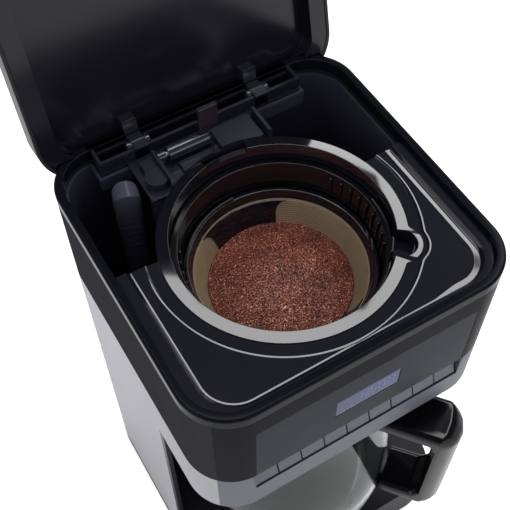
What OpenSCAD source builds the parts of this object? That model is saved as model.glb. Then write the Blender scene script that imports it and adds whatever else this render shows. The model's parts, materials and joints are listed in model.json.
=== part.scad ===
// Drip coffee maker: a square tower with a rear water tank, a top-loading brew funnel
// with a permanent filter, and a glass carafe on a warming plate.
// Origin: centre of the footprint on the table. +X right seen from the front, +Y back, +Z up.
// The lid is drawn open, resting on its stop, and the carafe stands in its niche.

/* [Body] */
// Width of the body
body_w = 200; // [196:1:206]
// Depth of the body
body_d = 200; // [198:1:206]
// Height of the body up to the rim, lid not counted
body_h = 344; // [338:1:360]
// Radius of the vertical corners
corner_r = 30; // [28:1:32]
// Thickness of the outer skins
skin_t = 1.5; // [1.2:0.1:1.7]
// Wall of the inner housing
shell_t = 3; // [2.4:0.1:3.2]
// Height of the head, from its underside to the rim
head_h = 120; // [118:1:122]
// Height of the base, up to the floor of the carafe niche
base_h = 46; // [44:1:50]
// Height of the base pan's outer wall above the table
pan_top = 14; // [12:1:16]
// Floor thickness of the base pan
pan_floor_t = 2.5; // [2:0.1:3]
// How far the side walls of the niche reach forward of the middle
niche_side_y = 30; // [26:1:34]
// Place of the niche's back wall behind the middle
niche_back_y = 50; // [49:0.5:51]

/* [Feet] */
// Height of the rubber feet
foot_h = 3; // [2.5:0.5:4]
// Radius of the rubber feet
foot_r = 8; // [6:0.5:9]
// Distance of the feet from the middle, both ways
foot_place = 74; // [68:1:76]
// Radius of the stem that plugs a foot into the pan
foot_stem_r = 3; // [2:0.5:4]

/* [Top rim and deck] */
// Width of the top rim
rim_w = 5.5; // [5:0.1:6]
// Height of the top rim
rim_h = 8; // [7.6:0.1:9]
// Drop from the rim to the deck's sunk field
deck_drop = 6; // [5.5:0.1:6.5]
// Thickness of the deck
deck_t = 2.4; // [2:0.1:2.6]
// Width of the raised border round the deck
deck_border_w = 9; // [8:0.5:10]
// Rise of that border over the sunk field
deck_border_rise = 2; // [1:0.1:2.5]
// Rear edge of the deck behind the middle
deck_rear_y = 9; // [7:0.5:11]
// Length of the finger notch in each side of the rim
notch_len = 26; // [20:1:30]
// Depth of that notch
notch_depth = 1.2; // [0.8:0.1:1.6]
// Middle of that notch in front of the middle of the body
notch_y = 47; // [40:1:50]

/* [Brew funnel] */
// Middle of the funnel in front of the middle of the body
funnel_y = 9.5; // [8.5:0.5:10.5]
// Outer radius of the funnel's lip
lip_r = 71; // [70:0.2:72]
// Inner radius of the funnel's lip
well_r = 63.8; // [63.6:0.1:64.4]
// Wall of the funnel well
well_wall = 2.6; // [2.2:0.1:2.8]
// Height of the lip
lip_h = 3.5; // [3:0.1:4]
// Width of the gap in the back of the lip
lip_gap = 29; // [26:1:32]
// Radius of the finger pocket in the lip
pocket_r = 9; // [8:0.5:9.5]
// Direction of the finger pocket, clockwise from the right-hand side
pocket_angle = 38; // [34:1:42]
// Height of the ledge that carries the basket, below the rim
ledge_drop = 22; // [21:0.5:23]

/* [Filter basket] */
// Radial clearance of the basket's rim in the well
basket_gap = 0.6; // [0.5:0.1:0.7]
// Thickness of the basket's rim
basket_rim_t = 3.5; // [3:0.1:4]
// Wall of the basket
basket_wall = 1.6; // [1.4:0.1:1.8]
// Inner radius at the top of the basket
basket_r = 59.4; // [59.2:0.1:59.6]
// Inner radius at the bottom of the basket
basket_bottom_r = 47; // [45:0.5:48]
// Depth of the basket below its rim
basket_depth = 88; // [86:1:89]
// Height of the step that carries the filter, below the basket's rim
filter_step = 23; // [22:0.5:24]
// Radius of the drip tube under the basket
drip_r = 8; // [7:0.5:9]
// Length of the drip tube
drip_len = 22; // [20:0.5:23]
// Number of ribs on each side of the basket
basket_ribs = 9; // [6:1:11]
// Thickness of the basket's bail handle
bail_t = 2.4; // [2:0.1:2.6]

/* [Permanent filter] */
// Outer radius of the filter's ring
filter_r = 57.6; // [57.4:0.1:57.8]
// Width of the filter's ring
filter_ring_w = 3.8; // [3.6:0.1:4]
// Thickness of the filter's ring
filter_ring_t = 3.5; // [3:0.1:3.6]
// Depth of the filter cone
filter_depth = 52; // [50:1:54]
// Radius of the filter's floor
filter_floor_r = 26; // [24:0.5:28]
// Thickness of the filter's frame
filter_t = 1.6; // [1.4:0.1:1.8]
// Angle that each closed rib of the frame covers
filter_rib_deg = 55; // [50:1:60]
// Depth of the coffee's edge below the filter's ring
coffee_drop = 16; // [15:0.5:17]
// Height of the heap above that edge
coffee_heap = 12.5; // [10:0.5:14]

/* [Lid] */
// How far each side of the lid stays inside the body's side
lid_side = 1; // [1:0.1:2]
// Thickness of the lid
lid_t = 16.5; // [16:0.1:17]
// Clearance under the closed lid
lid_gap = 0.5; // [0.4:0.1:0.6]
// Rear edge of the closed lid in front of the body's rear face
lid_rear = 0.5; // [0.4:0.1:0.8]
// Angle through which the lid opens
lid_open = 103; // [101:0.5:103.5]
// Place of the hinge in front of the body's rear face
hinge_inset = 12.2; // [12:0.1:12.4]
// Depth of the hinge axis below the rim
hinge_drop = 3; // [2.8:0.1:3.2]
// Depth of the tray in the lid's underside
tray_depth = 11; // [10.6:0.1:11.2]
// Width of the lid's edge round that tray
tray_edge = 13; // [11:0.5:15]
// Radius of the hinge pins
hinge_pin_r = 1.6; // [1.4:0.1:1.8]
// Distance of each hinge arm from the middle
arm_x = 41; // [38:1:44]
// Width of each hinge arm
arm_w = 9; // [8:0.5:10]
// Half width of the hinge trough
trough_x = 66.5; // [64:0.5:68]
// Depth of the hinge trough's floor below the rim
trough_drop = 17; // [16.5:0.5:18]
// Depth of the rear wall's edge below the rim at the trough
rear_notch = 5.5; // [5:0.1:6]

/* [Front] */
// Height of the plain band above the display panel
upper_band_h = 23.5; // [22:0.5:25]
// Height of the display panel
panel_h = 56; // [54:0.5:57]
// Distance of the display panel's ends from the body's sides
panel_side = 28.8; // [28.5:0.1:32]
// Width of the display window
lcd_w = 42; // [38:1:46]
// Height of the display window
lcd_h = 16.5; // [14:0.5:18]
// Middle of the display right of the middle of the body
lcd_x = 1; // [0:0.5:2]
// Top of the display window below the panel's top edge
lcd_drop = 19.5; // [18:0.5:21]
// Height of the plain chin under the keys
chin_h = 21.5; // [20:0.5:23]
// Number of keys
key_count = 9; // [7:1:10]
// Gap between two keys
key_gap = 0.7; // [0.5:0.1:0.9]
// Lean of the key row from upright
key_tilt = 18.4; // [17:0.1:19]
// Thickness of a key
key_t = 2.2; // [2:0.1:2.4]
// Travel of a key
key_travel = 1.2; // [0.8:0.1:1.4]

/* [Water side] */
// Wall of the water tank
tank_t = 2; // [1.8:0.1:2.2]
// Height of the tank's floor above the table
tank_z = 66; // [62:1:70]
// Clearance between the tank and the housing
tank_gap = 0.4; // [0.3:0.1:0.6]
// Radius of the hot-water riser
riser_r = 4; // [3.5:0.1:4.4]
// Wall of the riser
riser_wall = 1; // [0.8:0.1:1.2]
// Place of the riser left of the middle
riser_x = 43; // [42:0.5:43.5]
// Place of the tank's outlet right of the middle
outlet_x = 30; // [26:1:38]
// Place of the tank's outlet behind the middle
outlet_y = 74; // [70:1:80]
// Outer radius of the water hoses
hose_r = 5.4; // [5.2:0.1:5.6]
// Radius of the spray arm's barrel
barrel_r = 4.6; // [4.4:0.1:4.8]
// Length of the spray arm's barrel
barrel_len = 27; // [24:0.5:28]
// Right-hand end of the barrel, left of the middle
barrel_x = 3; // [2:0.5:4]
// Place of the barrel in front of the body's rear face
barrel_inset = 29; // [28.5:0.5:29.5]
// Depth of the barrel's axis below the rim
barrel_drop = 2.5; // [2:0.5:3]
// Width of the spray arm's nozzle plate
nozzle_w = 12.5; // [11:0.5:13]
// Left-hand edge of the nozzle plate, left of the middle
nozzle_x = 8.5; // [8:0.5:9.5]
// Length of the nozzle plate from the barrel's axis
nozzle_len = 25; // [24:0.5:26]
// Radius of the pin that carries the spray arm
arm_pin_r = 1.5; // [1.3:0.1:1.7]
// Length of the grip of the water filter's holder
pillar_len = 86; // [80:0.5:90]
// Width of the water filter's holder
pillar_w = 17; // [15:0.5:18]
// Depth of the water filter's holder
pillar_d = 12; // [10:0.5:13]

/* [Carafe] */
// Middle of the carafe in front of the middle of the body
carafe_y = 29; // [27.5:0.5:30]
// Largest radius of the glass
glass_r = 75; // [73:0.5:76]
// Thickness of the glass
glass_t = 2.6; // [2.2:0.1:3]
// Depth of the glass's top below the head
carafe_drop = 29.7; // [28.7:0.5:32.7]
// Radius of the glass at its neck
neck_r = 50; // [48:0.5:52]
// Radius of the glass where it stands on the plate
foot_ring_r = 57; // [54:0.5:58.5]
// Height of the collar round the neck
collar_h = 16; // [14:0.5:18]
// Height of the carafe's lid above the collar
carafe_lid_h = 9; // [8:0.5:10]
// Direction of the handle, clockwise from the right-hand side
handle_angle = 50.5; // [46:0.5:56]
// Reach of the handle from the carafe's axis
handle_reach = 118; // [112:0.5:120]
// Width of the handle
handle_w = 34; // [30:0.5:36]
// Thickness of the handle's upright grip
grip_t = 15; // [13:0.5:17]
// Clearance between the carafe and the warming plate
carafe_gap = 0.3; // [0.2:0.1:0.4]

/* [Heater] */
// Radius of the warming plate
plate_r = 62; // [60.5:0.5:63]
// Thickness of the warming plate
plate_t = 2; // [1.6:0.1:2.4]
// Width of the rubber seal round the plate
seal_w = 2.2; // [1.8:0.1:2.6]
// Radius of the heater's ring
heater_r = 46; // [44.5:0.5:47]
// Width of the heater's section
heater_w = 12; // [10:0.5:13]
// Height of the heater's section
heater_h = 15; // [14:0.5:16]

/* [Hidden] */
$fn = 96;

// Small cut that lets one solid pass right through another
eps = 0.1;
// Clearance between two rigid pieces that are assembled side by side
fit = 0.1;
// Radial clearance of a pin that turns in its bore
run_fit = 0.05;
// Clearance beside a part that moves
side_fit = 0.4;

hw = body_w / 2;
hd = body_d / 2;
head_z = body_h - head_h;
rim_z = body_h - rim_h;
shell_in = skin_t + fit;
cavity_in = shell_in + shell_t;
// Where the front fascia meets the side skins, half way round the corner
seam_y = -hd + corner_r * (1 - cos(45));

// Front, from the top down
panel_top = body_h - upper_band_h;
panel_w = body_w - 2 * panel_side;
panel_z = panel_top - panel_h;
key_z = head_z + chin_h;
key_run = (panel_z - key_z) / cos(key_tilt) - key_gap;
key_pitch = panel_w / key_count;
key_back = 5.5;
key_inset = 0.8;
key_margin = 0.8;
cheek_t = 1.4;
shelf_z = key_z - (key_inset + key_t + key_travel) * sin(key_tilt) + key_margin * cos(key_tilt) - 0.3;

// Funnel
deck_z = body_h - deck_drop;
lip_z = deck_z - lip_h;
ledge_z = body_h - ledge_drop;
well_floor_z = head_z + shell_t;
well_floor_t = 2.5;
ledge_w = 2.4;
pocket_place = well_r + 2.4;
pocket_wall = 3.4;
deck_step_w = 7.3;
deck_step = 0.8;

// Basket
basket_top = ledge_z + basket_rim_t;
basket_rim_r = well_r - basket_gap;
basket_floor_z = basket_top - basket_depth;
step_z = basket_top - filter_step;
seat_r = filter_r + 0.4;
seat_w = 2.2;
valve_r = 3;
valve_stem_r = 1.5;
valve_bore_r = 4.4;

// Filter
ring_in_r = filter_r - filter_ring_w;
cone_slope = (ring_in_r - filter_floor_r) / filter_depth;
coffee_fit = 0.9;
coffee_z = step_z - coffee_drop;
coffee_r = ring_in_r - cone_slope * coffee_drop - coffee_fit;

// Lid
hinge_y = hd - hinge_inset;
hinge_z = body_h - hinge_drop;
lid_z = body_h + lid_gap;
lid_w = body_w - 2 * lid_side;
lid_front_y = -hd;
lid_back_y = hd - lid_rear;
lid_d = lid_back_y - lid_front_y;
lid_mid_y = (lid_back_y + lid_front_y) / 2;
lid_skin = 2.2;
trough_front_y = hinge_y - 4;
trough_z = body_h - trough_drop;
trough_wall = 2;

// Tank
column_y = niche_back_y + shell_t;
tank_in = cavity_in + tank_gap;
bridge_drop = 11;
bridge_z = body_h - bridge_drop;
tank_top = bridge_z - 0.3;
tank_step_z = head_z + shell_t + tank_gap;
tank_front_y = deck_rear_y;
barrel_y = hd - barrel_inset;
barrel_z = body_h - barrel_drop;
riser_y = column_y + tank_gap + riser_r + 2.4;
under_trough_z = trough_z - trough_wall - tank_gap;
pillar_x = -62;
pillar_y = 64.2;
pillar_turn = -17;
pillar_top = tank_top + 3.5;
pillar_foot_z = tank_z + tank_t + fit;
pillar_stem_r = 5;

// Carafe
carafe_z = base_h + plate_t + carafe_gap;
glass_top = head_z - carafe_drop;
collar_z = glass_top - collar_h;
belly_h = 45;
belly_steps = 8;
collar_t = 3;
lid_top_z = glass_top + carafe_lid_h;
handle_z = glass_top + 4;
handle_foot = 38;
handle_bottom_z = carafe_z + handle_foot;
strap_h = 14;

module rrect(w, d, r) {
    square([w - 2 * r, d], center = true);
    square([w, d - 2 * r], center = true);
    for (x = [-1, 1])
        for (y = [-1, 1])
            translate([x * (w / 2 - r), y * (d / 2 - r)])
                circle(r);
}

// Plan of the body, moved inwards all round
module plan(inset) {
    rrect(body_w - 2 * inset, body_d - 2 * inset, corner_r - inset);
}

module slab(inset, z0, z1) {
    translate([0, 0, z0])
        linear_extrude(z1 - z0)
            plan(inset);
}

// Wall that follows the body's plan, from one inset to another
module wall(outer, inner, z0, z1) {
    translate([0, 0, z0])
        linear_extrude(z1 - z0)
            difference() {
                plan(outer);
                plan(inner);
            }
}

// Box given by its two opposite corners
module box(a, b) {
    translate(a)
        cube(b - a);
}

module disc(r, z0, z1) {
    translate([0, 0, z0])
        cylinder(r = r, h = z1 - z0);
}

module ring(ro, ri, z0, z1) {
    translate([0, 0, z0])
        linear_extrude(z1 - z0)
            difference() {
                circle(ro);
                circle(ri);
            }
}

// Everything in front of a plane across the body, or behind it
module front_of(y) {
    box([-hw - eps, -hd - eps, -eps], [hw + eps, y, body_h + eps]);
}

module behind(y) {
    box([-hw - eps, y, -eps], [hw + eps, hd + eps, body_h + eps]);
}

module at_funnel() {
    translate([0, -funnel_y, 0])
        children();
}

module at_carafe() {
    translate([0, -carafe_y, 0])
        children();
}

module at_pocket() {
    at_funnel()
        rotate(-pocket_angle)
            translate([pocket_place, 0, 0])
                children();
}

// Cylinder along X, centred on a point
module rod_x(p, r, len) {
    translate(p)
        rotate([0, 90, 0])
            cylinder(r = r, h = len, center = true);
}

// Cylinder along Y
module rod_y(p, r, len) {
    translate(p)
        rotate([90, 0, 0])
            cylinder(r = r, h = len, center = true);
}

// ---------- Base ----------

module at_feet() {
    for (x = [-1, 1])
        for (y = [-1, 1])
            translate([x * foot_place, y * foot_place, 0])
                children();
}

module feet() {
    color("dimgray")
        at_feet() {
            cylinder(r = foot_r, h = foot_h);
            cylinder(r = foot_stem_r, h = foot_h + pan_floor_t + 1);
        }
}

screw_x = 60;
screw_y = 84;
boss_r = 4;
screw_r = 1.6;
boss_top = base_h - shell_t - 12;

module at_screws() {
    for (x = [-1, 1])
        for (y = [-1, 1])
            translate([x * screw_x, y * screw_y, 0])
                children();
}

module base_pan() {
    color("#1c1c1f")
        difference() {
            union() {
                slab(skin_t, foot_h, foot_h + pan_floor_t);
                wall(0, skin_t + 2, foot_h + 1, pan_top - fit);
                at_screws()
                    disc(boss_r, foot_h, boss_top);
            }
            at_feet()
                disc(foot_stem_r + fit, -eps, pan_top);
            at_screws()
                disc(screw_r + run_fit, -eps, base_h);
            for (i = [-4:4])
                box([i * 8 - 2, -30, 0], [i * 8 + 2, 30, pan_top]);
        }
}

module screws() {
    color("silver")
        at_screws() {
            disc(screw_r, foot_h, boss_top + 8);
            disc(3, foot_h - 1.6, foot_h);
        }
}

module base_cover() {
    color("#141416")
        intersection() {
            wall(0, skin_t, pan_top, base_h - fit);
            front_of(-niche_side_y - fit / 2);
        }
}

// ---------- Housing ----------

// Posts in the base that take the base pan's screws
module screw_posts() {
    at_screws()
        disc(boss_r, boss_top + fit, base_h - shell_t + eps);
    for (x = [-1, 1])
        box([x * screw_x - boss_r, screw_y, boss_top + fit],
            [x * screw_x + boss_r, hd - shell_in - 1, base_h - shell_t]);
}

// Lower part of the housing: a tray upside down, which carries the warming plate
module base_shell() {
    color("#17171a")
        difference() {
            union() {
                wall(shell_in, cavity_in, pan_top, base_h);
                intersection() {
                    slab(shell_in, base_h - shell_t, base_h);
                    front_of(column_y);
                }
                screw_posts();
            }
            at_carafe()
                disc(plate_r + seal_w, 0, base_h + eps);
            // Way for the mains inlet
            rod_y([inlet_x, hd, inlet_z], inlet_r + 1, 30);
            at_screws()
                disc(screw_r + fit, 0, boss_top + 9);
        }
}

// Middle part of the housing: the walls of the niche and of the water column behind it
module column_shell() {
    color("#17171a")
        difference() {
            union() {
                wall(shell_in, cavity_in, base_h + fit, head_z - fit);
                intersection() {
                    slab(shell_in, base_h + fit, head_z - fit);
                    box([-hw, niche_back_y, 0], [hw, column_y, head_z]);
                }
            }
            front_of(-niche_side_y);
        }
}

// Upper part of the housing: the walls of the head and its floor
module head_shell() {
    color("#17171a")
        difference() {
            union() {
                wall(shell_in, cavity_in, head_z, rim_z - fit);
                intersection() {
                    slab(shell_in, head_z, head_z + shell_t);
                    front_of(column_y);
                }
            }
            // Hole for the drip tube
            at_funnel()
                disc(drip_r + 4, head_z - eps, head_z + shell_t + eps);
            // Window behind the display panel, which rests on its edge
            box([-panel_w / 2 + 2, -hd, panel_z - 1], [panel_w / 2 - 2, -hd + corner_r / 2, panel_top - 2]);
            // Opening for the keys
            box([-panel_w / 2 - cheek_t - 0.4, -hd, shelf_z - 2],
                [panel_w / 2 + cheek_t + 0.4, -hd + corner_r / 2, panel_z]);
        }
}

module steel_wrap() {
    color("#b8b7bc")
        difference() {
            wall(0, skin_t, pan_top, panel_z - fit);
            front_of(seam_y + fit / 2);
            box([-hw - eps, -hd, 0], [hw + eps, -niche_side_y, head_z]);
            box([-rear_half, hd - corner_r, 0], [rear_half, hd + eps, body_h]);
        }
}

rear_half = 68;

module rear_cover() {
    color("#1b1b1e")
        difference() {
            box([-rear_half + fit, hd - skin_t, pan_top], [rear_half - fit, hd, panel_z - fit]);
            rod_y([inlet_x, hd, inlet_z], inlet_r, 10);
            for (i = [0:5])
                box([-24, hd - 5, panel_z - 24 - i * 6], [24, hd + eps, panel_z - 21 - i * 6]);
        }
}

inlet_x = -40;
inlet_z = 32;
inlet_r = 6;

module cord_inlet() {
    color("#101012")
        difference() {
            union() {
                rod_y([inlet_x, hd - 3, inlet_z], inlet_r - fit, 7);
                rod_y([inlet_x, hd - cavity_in - 1.1, inlet_z], inlet_r + 2.4, 2);
            }
            rod_y([inlet_x, hd, inlet_z], 3.6, 30);
        }
}

module rim_notches(z0, z1) {
    for (s = [-1, 1])
        box([s * hw - notch_depth, -notch_y - notch_len / 2, z0],
            [s * hw + notch_depth, -notch_y + notch_len / 2, z1]);
}

module side_band() {
    color("#39393b")
        difference() {
            wall(0, skin_t, panel_z, rim_z - fit);
            front_of(seam_y + fit / 2);
        }
}

module top_rim() {
    color("#1b1e26")
        difference() {
            wall(0, rim_w, rim_z, body_h);
            rim_notches(body_h - 3, body_h + eps);
            box([-trough_x, hd - corner_r / 2, body_h - rear_notch], [trough_x, hd + eps, body_h + eps]);
        }
}

// ---------- Front ----------

module fascia() {
    color("#343739")
        difference() {
            intersection() {
                wall(0, skin_t, panel_z, rim_z - fit);
                front_of(seam_y - fit / 2);
            }
            box([-panel_w / 2 - fit, -hd - eps, 0], [panel_w / 2 + fit, -hd + skin_t + eps, panel_top]);
        }
}

lcd_z = panel_top - lcd_drop - lcd_h;

module display_panel() {
    color("#393c40")
        difference() {
            box([-panel_w / 2, -hd, panel_z], [panel_w / 2, -hd + skin_t, panel_top - fit]);
            box([lcd_x - lcd_w / 2, -hd - eps, lcd_z], [lcd_x + lcd_w / 2, 0, lcd_z + lcd_h]);
        }
}

module lcd_lens() {
    color("#3f4a78")
        box([lcd_x - lcd_w / 2 + fit, -hd + 0.4, lcd_z + fit],
            [lcd_x + lcd_w / 2 - fit, -hd + skin_t, lcd_z + lcd_h - fit]);
}

module lcd_module() {
    color("gray")
        box([lcd_x - lcd_w / 2 - 3, -hd + shell_in, lcd_z - 3],
            [lcd_x + lcd_w / 2 + 3, -hd + cavity_in, lcd_z + lcd_h + 3]);
}

module display_board() {
    color("darkgreen")
        box([-panel_w / 2 + 0.6, -hd + cavity_in + fit, panel_z + 3],
            [panel_w / 2 - 0.6, -hd + cavity_in + fit + 1.6, panel_top + 1]);
}

module chin_strip() {
    color("#8f9197")
        difference() {
            union() {
                intersection() {
                    wall(0, skin_t, head_z, panel_z - fit);
                    front_of(seam_y - fit / 2);
                }
                // Cheeks that close the ends of the key row and carry its board
                for (s = [-1, 1])
                    translate([s * (panel_w / 2 + cheek_t / 2 + fit), 0, 0])
                        box([-cheek_t / 2, -hd + eps, shelf_z - 1.6], [cheek_t / 2, -hd + 16, panel_z - fit]);
                // Shelf under the key row
                box([-panel_w / 2 - 1, -hd + eps, shelf_z - 1.6], [panel_w / 2 + 1, -hd + 9, shelf_z]);
            }
            box([-panel_w / 2 - fit, -hd - 1, key_z], [panel_w / 2 + fit, -hd + skin_t + 1, panel_z + 1]);
        }
}

// Frame of the key row: Z up the slope, Y inwards
module on_slope(x) {
    translate([x, -hd, key_z])
        rotate([-key_tilt, 0, 0])
            children();
}

module key(i) {
    w = key_pitch - key_gap;
    x = (i - (key_count + 1) / 2) * key_pitch;
    color("#7c848b")
        on_slope(x) {
            box([-w / 2, key_inset, key_margin], [w / 2, key_inset + key_t, key_run - key_margin]);
            box([-2, key_inset, key_run / 2 - 3], [2, key_back, key_run / 2 + 3]);
        }
}

module key_1() { key(1); }
module key_2() { key(2); }
module key_3() { key(3); }
module key_4() { key(4); }
module key_5() { key(5); }
module key_6() { key(6); }
module key_7() { key(7); }
module key_8() { key(8); }
module key_9() { key(9); }

module key_board() {
    switch_y = key_back + key_travel + 0.3;
    color("darkgreen")
        on_slope(0) {
            box([-panel_w / 2, switch_y + 2.2, 3], [panel_w / 2, switch_y + 3.8, key_run - 3]);
            for (i = [1:key_count])
                translate([(i - (key_count + 1) / 2) * key_pitch, 0, 0])
                    box([-3, switch_y, key_run / 2 - 3], [3, switch_y + 2.2 + eps, key_run / 2 + 3]);
        }
}

// ---------- Top deck and funnel ----------

module deck() {
    color("#15151b")
        difference() {
            union() {
                slab(rim_w + fit, deck_z - deck_t, deck_z);
                wall(rim_w + fit, rim_w + deck_border_w, deck_z - deck_t, deck_z + deck_border_rise);
            }
            behind(deck_rear_y);
            at_funnel() {
                disc(lip_r + fit, 0, body_h);
                ring(lip_r + deck_step_w, lip_r, deck_z - deck_step, body_h);
            }
            at_pocket()
                disc(pocket_r + pocket_wall + fit, 0, body_h);
        }
}

module lip_plan() {
    circle(lip_r);
    rotate(-pocket_angle)
        translate([pocket_place, 0])
            circle(pocket_r + pocket_wall);
}

module brew_well() {
    color("#202329")
        difference() {
            union() {
                at_funnel() {
                    translate([0, 0, lip_z])
                        linear_extrude(lip_h)
                            lip_plan();
                    disc(well_r + well_wall, ledge_z - 3, lip_z + eps);
                    disc(well_r - ledge_w + well_wall, well_floor_z, ledge_z);
                }
                // Cup below the finger pocket
                at_pocket()
                    disc(pocket_r + 2, ledge_z + 3, lip_z + eps);
            }
            at_funnel() {
                disc(well_r, ledge_z, body_h);
                disc(well_r - ledge_w, well_floor_z + well_floor_t, body_h);
                disc(drip_r + 4, 0, body_h);
            }
            at_pocket()
                disc(pocket_r, ledge_z + 6, body_h);
            box([-lip_gap / 2, 0, ledge_z + 8], [lip_gap / 2, hd, body_h]);
        }
}

// ---------- Water ----------

// Plan of the tank round the back of the funnel
module tank_plan(inset) {
    difference() {
        intersection() {
            plan(tank_in + inset);
            translate([-hw, tank_front_y + inset])
                square([body_w, hd]);
        }
        translate([0, -funnel_y])
            circle(well_r + well_wall + tank_gap + inset);
    }
}

// Room of the hinge trough, which the tank's top leaves free
module trough_plan(outset) {
    o = trough_wall + tank_gap + outset;
    translate([-trough_x - o, trough_front_y - o])
        square([2 * (trough_x + o), hd]);
}

// Plan of the tank inside the column
module column_plan(inset) {
    intersection() {
        plan(tank_in + inset);
        translate([-hw, column_y + tank_gap + inset])
            square([body_w, hd]);
    }
}

module tank_body(inset, floor_t) {
    translate([0, 0, tank_step_z + floor_t])
        linear_extrude(under_trough_z - tank_step_z - 2 * floor_t)
            tank_plan(inset);
    translate([0, 0, under_trough_z - floor_t - eps])
        linear_extrude(tank_top - under_trough_z + floor_t + 3 * eps)
            difference() {
                tank_plan(inset);
                trough_plan(inset);
            }
    translate([0, 0, tank_z + floor_t])
        linear_extrude(tank_step_z - tank_z + eps)
            difference() {
                column_plan(inset);
                translate([0, -funnel_y])
                    circle(well_r + well_wall + tank_gap + inset);
            }
}

module water_tank() {
    color("#101017")
        difference() {
            union() {
                intersection() {
                    tank_body(0, 0);
                    slab(0, 0, tank_top);
                }
                translate([outlet_x, outlet_y, tank_z - 10])
                    cylinder(r = spigot_r, h = 10 + eps);
            }
            difference() {
                tank_body(tank_t, tank_t);
                // Tube that shields the riser
                at_riser()
                    cylinder(r = riser_r + 2.4, h = body_h);
            }
            at_riser()
                cylinder(r = riser_r + side_fit, h = body_h);
            translate([outlet_x, outlet_y, 0])
                cylinder(r = spigot_r - 1.2, h = tank_z + tank_t + 1);
        }
}

hose_in_r = 4;
spigot_r = 3.9;

module at_riser() {
    translate([-riser_x, riser_y, 0])
        children();
}

module riser_tube() {
    color("gainsboro")
        at_riser()
            difference() {
                disc(riser_r, base_h, bridge_z - fit);
                disc(riser_r - riser_wall, 0, body_h);
            }
}

bridge_t = 2.2;
bridge_left = -52;
bridge_right = 32;
bridge_front_y = barrel_y - 17;
side_left_x = -38;

module bridge() {
    color("#17181f")
        difference() {
            union() {
                // Floor between the funnel and the hinge trough
                box([bridge_left, bridge_front_y - 6, bridge_z],
                    [bridge_right, trough_front_y - trough_wall - fit, bridge_z + bridge_t]);
                // Side walls
                box([side_left_x, bridge_front_y - 4, bridge_z],
                    [side_left_x + 2, barrel_y + 5, body_h - 0.6]);
                box([bridge_right - 2, bridge_front_y - 4, bridge_z],
                    [bridge_right, barrel_y + 5, body_h - 0.6]);
                // Spigot at the barrel's left-hand end
                rod_x([side_left_x + 4, barrel_y, barrel_z], barrel_r - 1.4, 5);
                // Ear at its right-hand end
                box([-barrel_x + side_fit, barrel_y - 3.5, bridge_z],
                    [-barrel_x + side_fit + 2.4, barrel_y + 3.5, barrel_z + 3]);
                // Raised cover beside the barrel
                box([-barrel_x + 4.5, bridge_front_y + 3, bridge_z],
                    [bridge_right - 4, barrel_y + 6, body_h - 5.5]);
                // Apron in front of the barrel
                box([side_left_x + 12, bridge_front_y - 4, bridge_z],
                    [-barrel_x - 1, barrel_y - 6, body_h - 6.5]);
                // Dome over the riser, and the channel from there to the barrel
                at_riser()
                    disc(riser_r + 3, bridge_z, body_h - 3.5);
                box([-riser_x - 4, riser_y, bridge_z], [side_left_x + 1, barrel_y + 4, body_h - 4.5]);
            }
            at_funnel()
                disc(lip_r + fit, 0, body_h);
            rod_x([side_left_x / 2, barrel_y, barrel_z], arm_pin_r + 0.02, -side_left_x + 2);
            at_riser()
                disc(riser_r - riser_wall, 0, body_h - 6);
            // Barrel's turning room
            rod_x([-barrel_x - barrel_len / 2, barrel_y, barrel_z],
                barrel_r + side_fit, barrel_len + 2 * side_fit);
        }
}

module spray_arm() {
    color("#26262c")
        difference() {
            union() {
                rod_x([-barrel_x - barrel_len / 2, barrel_y, barrel_z], barrel_r, barrel_len);
                // Nozzle plate, upright while the lid is open; its right half clears the bridge's ear
                box([-nozzle_x, barrel_y - nozzle_t / 2, barrel_z],
                    [-barrel_x, barrel_y + nozzle_t / 2, barrel_z + nozzle_len]);
                box([-barrel_x - eps, barrel_y - nozzle_t / 2, barrel_z + barrel_r + side_fit + 1],
                    [nozzle_w - nozzle_x, barrel_y + nozzle_t / 2, barrel_z + nozzle_len]);
            }
            rod_x([-barrel_x - barrel_len / 2, barrel_y, barrel_z],
                arm_pin_r + run_fit, barrel_len + 2 * nozzle_w);
        }
}

nozzle_t = 3;

module filter_pillar() {
    color("#19171f")
        translate([pillar_x, pillar_y, 0])
            rotate(pillar_turn)
                difference() {
                    union() {
                        // Grip with a half-round top, upright like a leaf
                        intersection() {
                            translate([0, 0, pillar_top - pillar_len])
                                linear_extrude(pillar_len)
                                    rrect(pillar_w, pillar_d, pillar_d / 2 - 0.5);
                            union() {
                                rod_y([0, 0, pillar_top - pillar_w / 2], pillar_w / 2, pillar_w);
                                box([-pillar_w, -pillar_w, 0], [pillar_w, pillar_w, pillar_top - pillar_w / 2]);
                            }
                        }
                        // Stem that stands on the tank's floor
                        disc(pillar_stem_r, pillar_foot_z, pillar_top - pillar_len + eps);
                    }
                    // Grip ribs
                    for (i = [0:7])
                        box([-pillar_w, -pillar_d / 2 - 1, pillar_top - 24 - i * 6],
                            [pillar_w, -pillar_d / 2 + 0.7, pillar_top - 22 - i * 6]);
                    // Room for the cartridge
                    disc(pillar_stem_r - 1.5, pillar_foot_z + 8, pillar_foot_z + 68);
                    for (i = [0:3])
                        rod_y([0, 0, pillar_foot_z + 14 + i * 10], 1.6, 30);
                }
}

// ---------- Hinge and lid ----------

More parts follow.
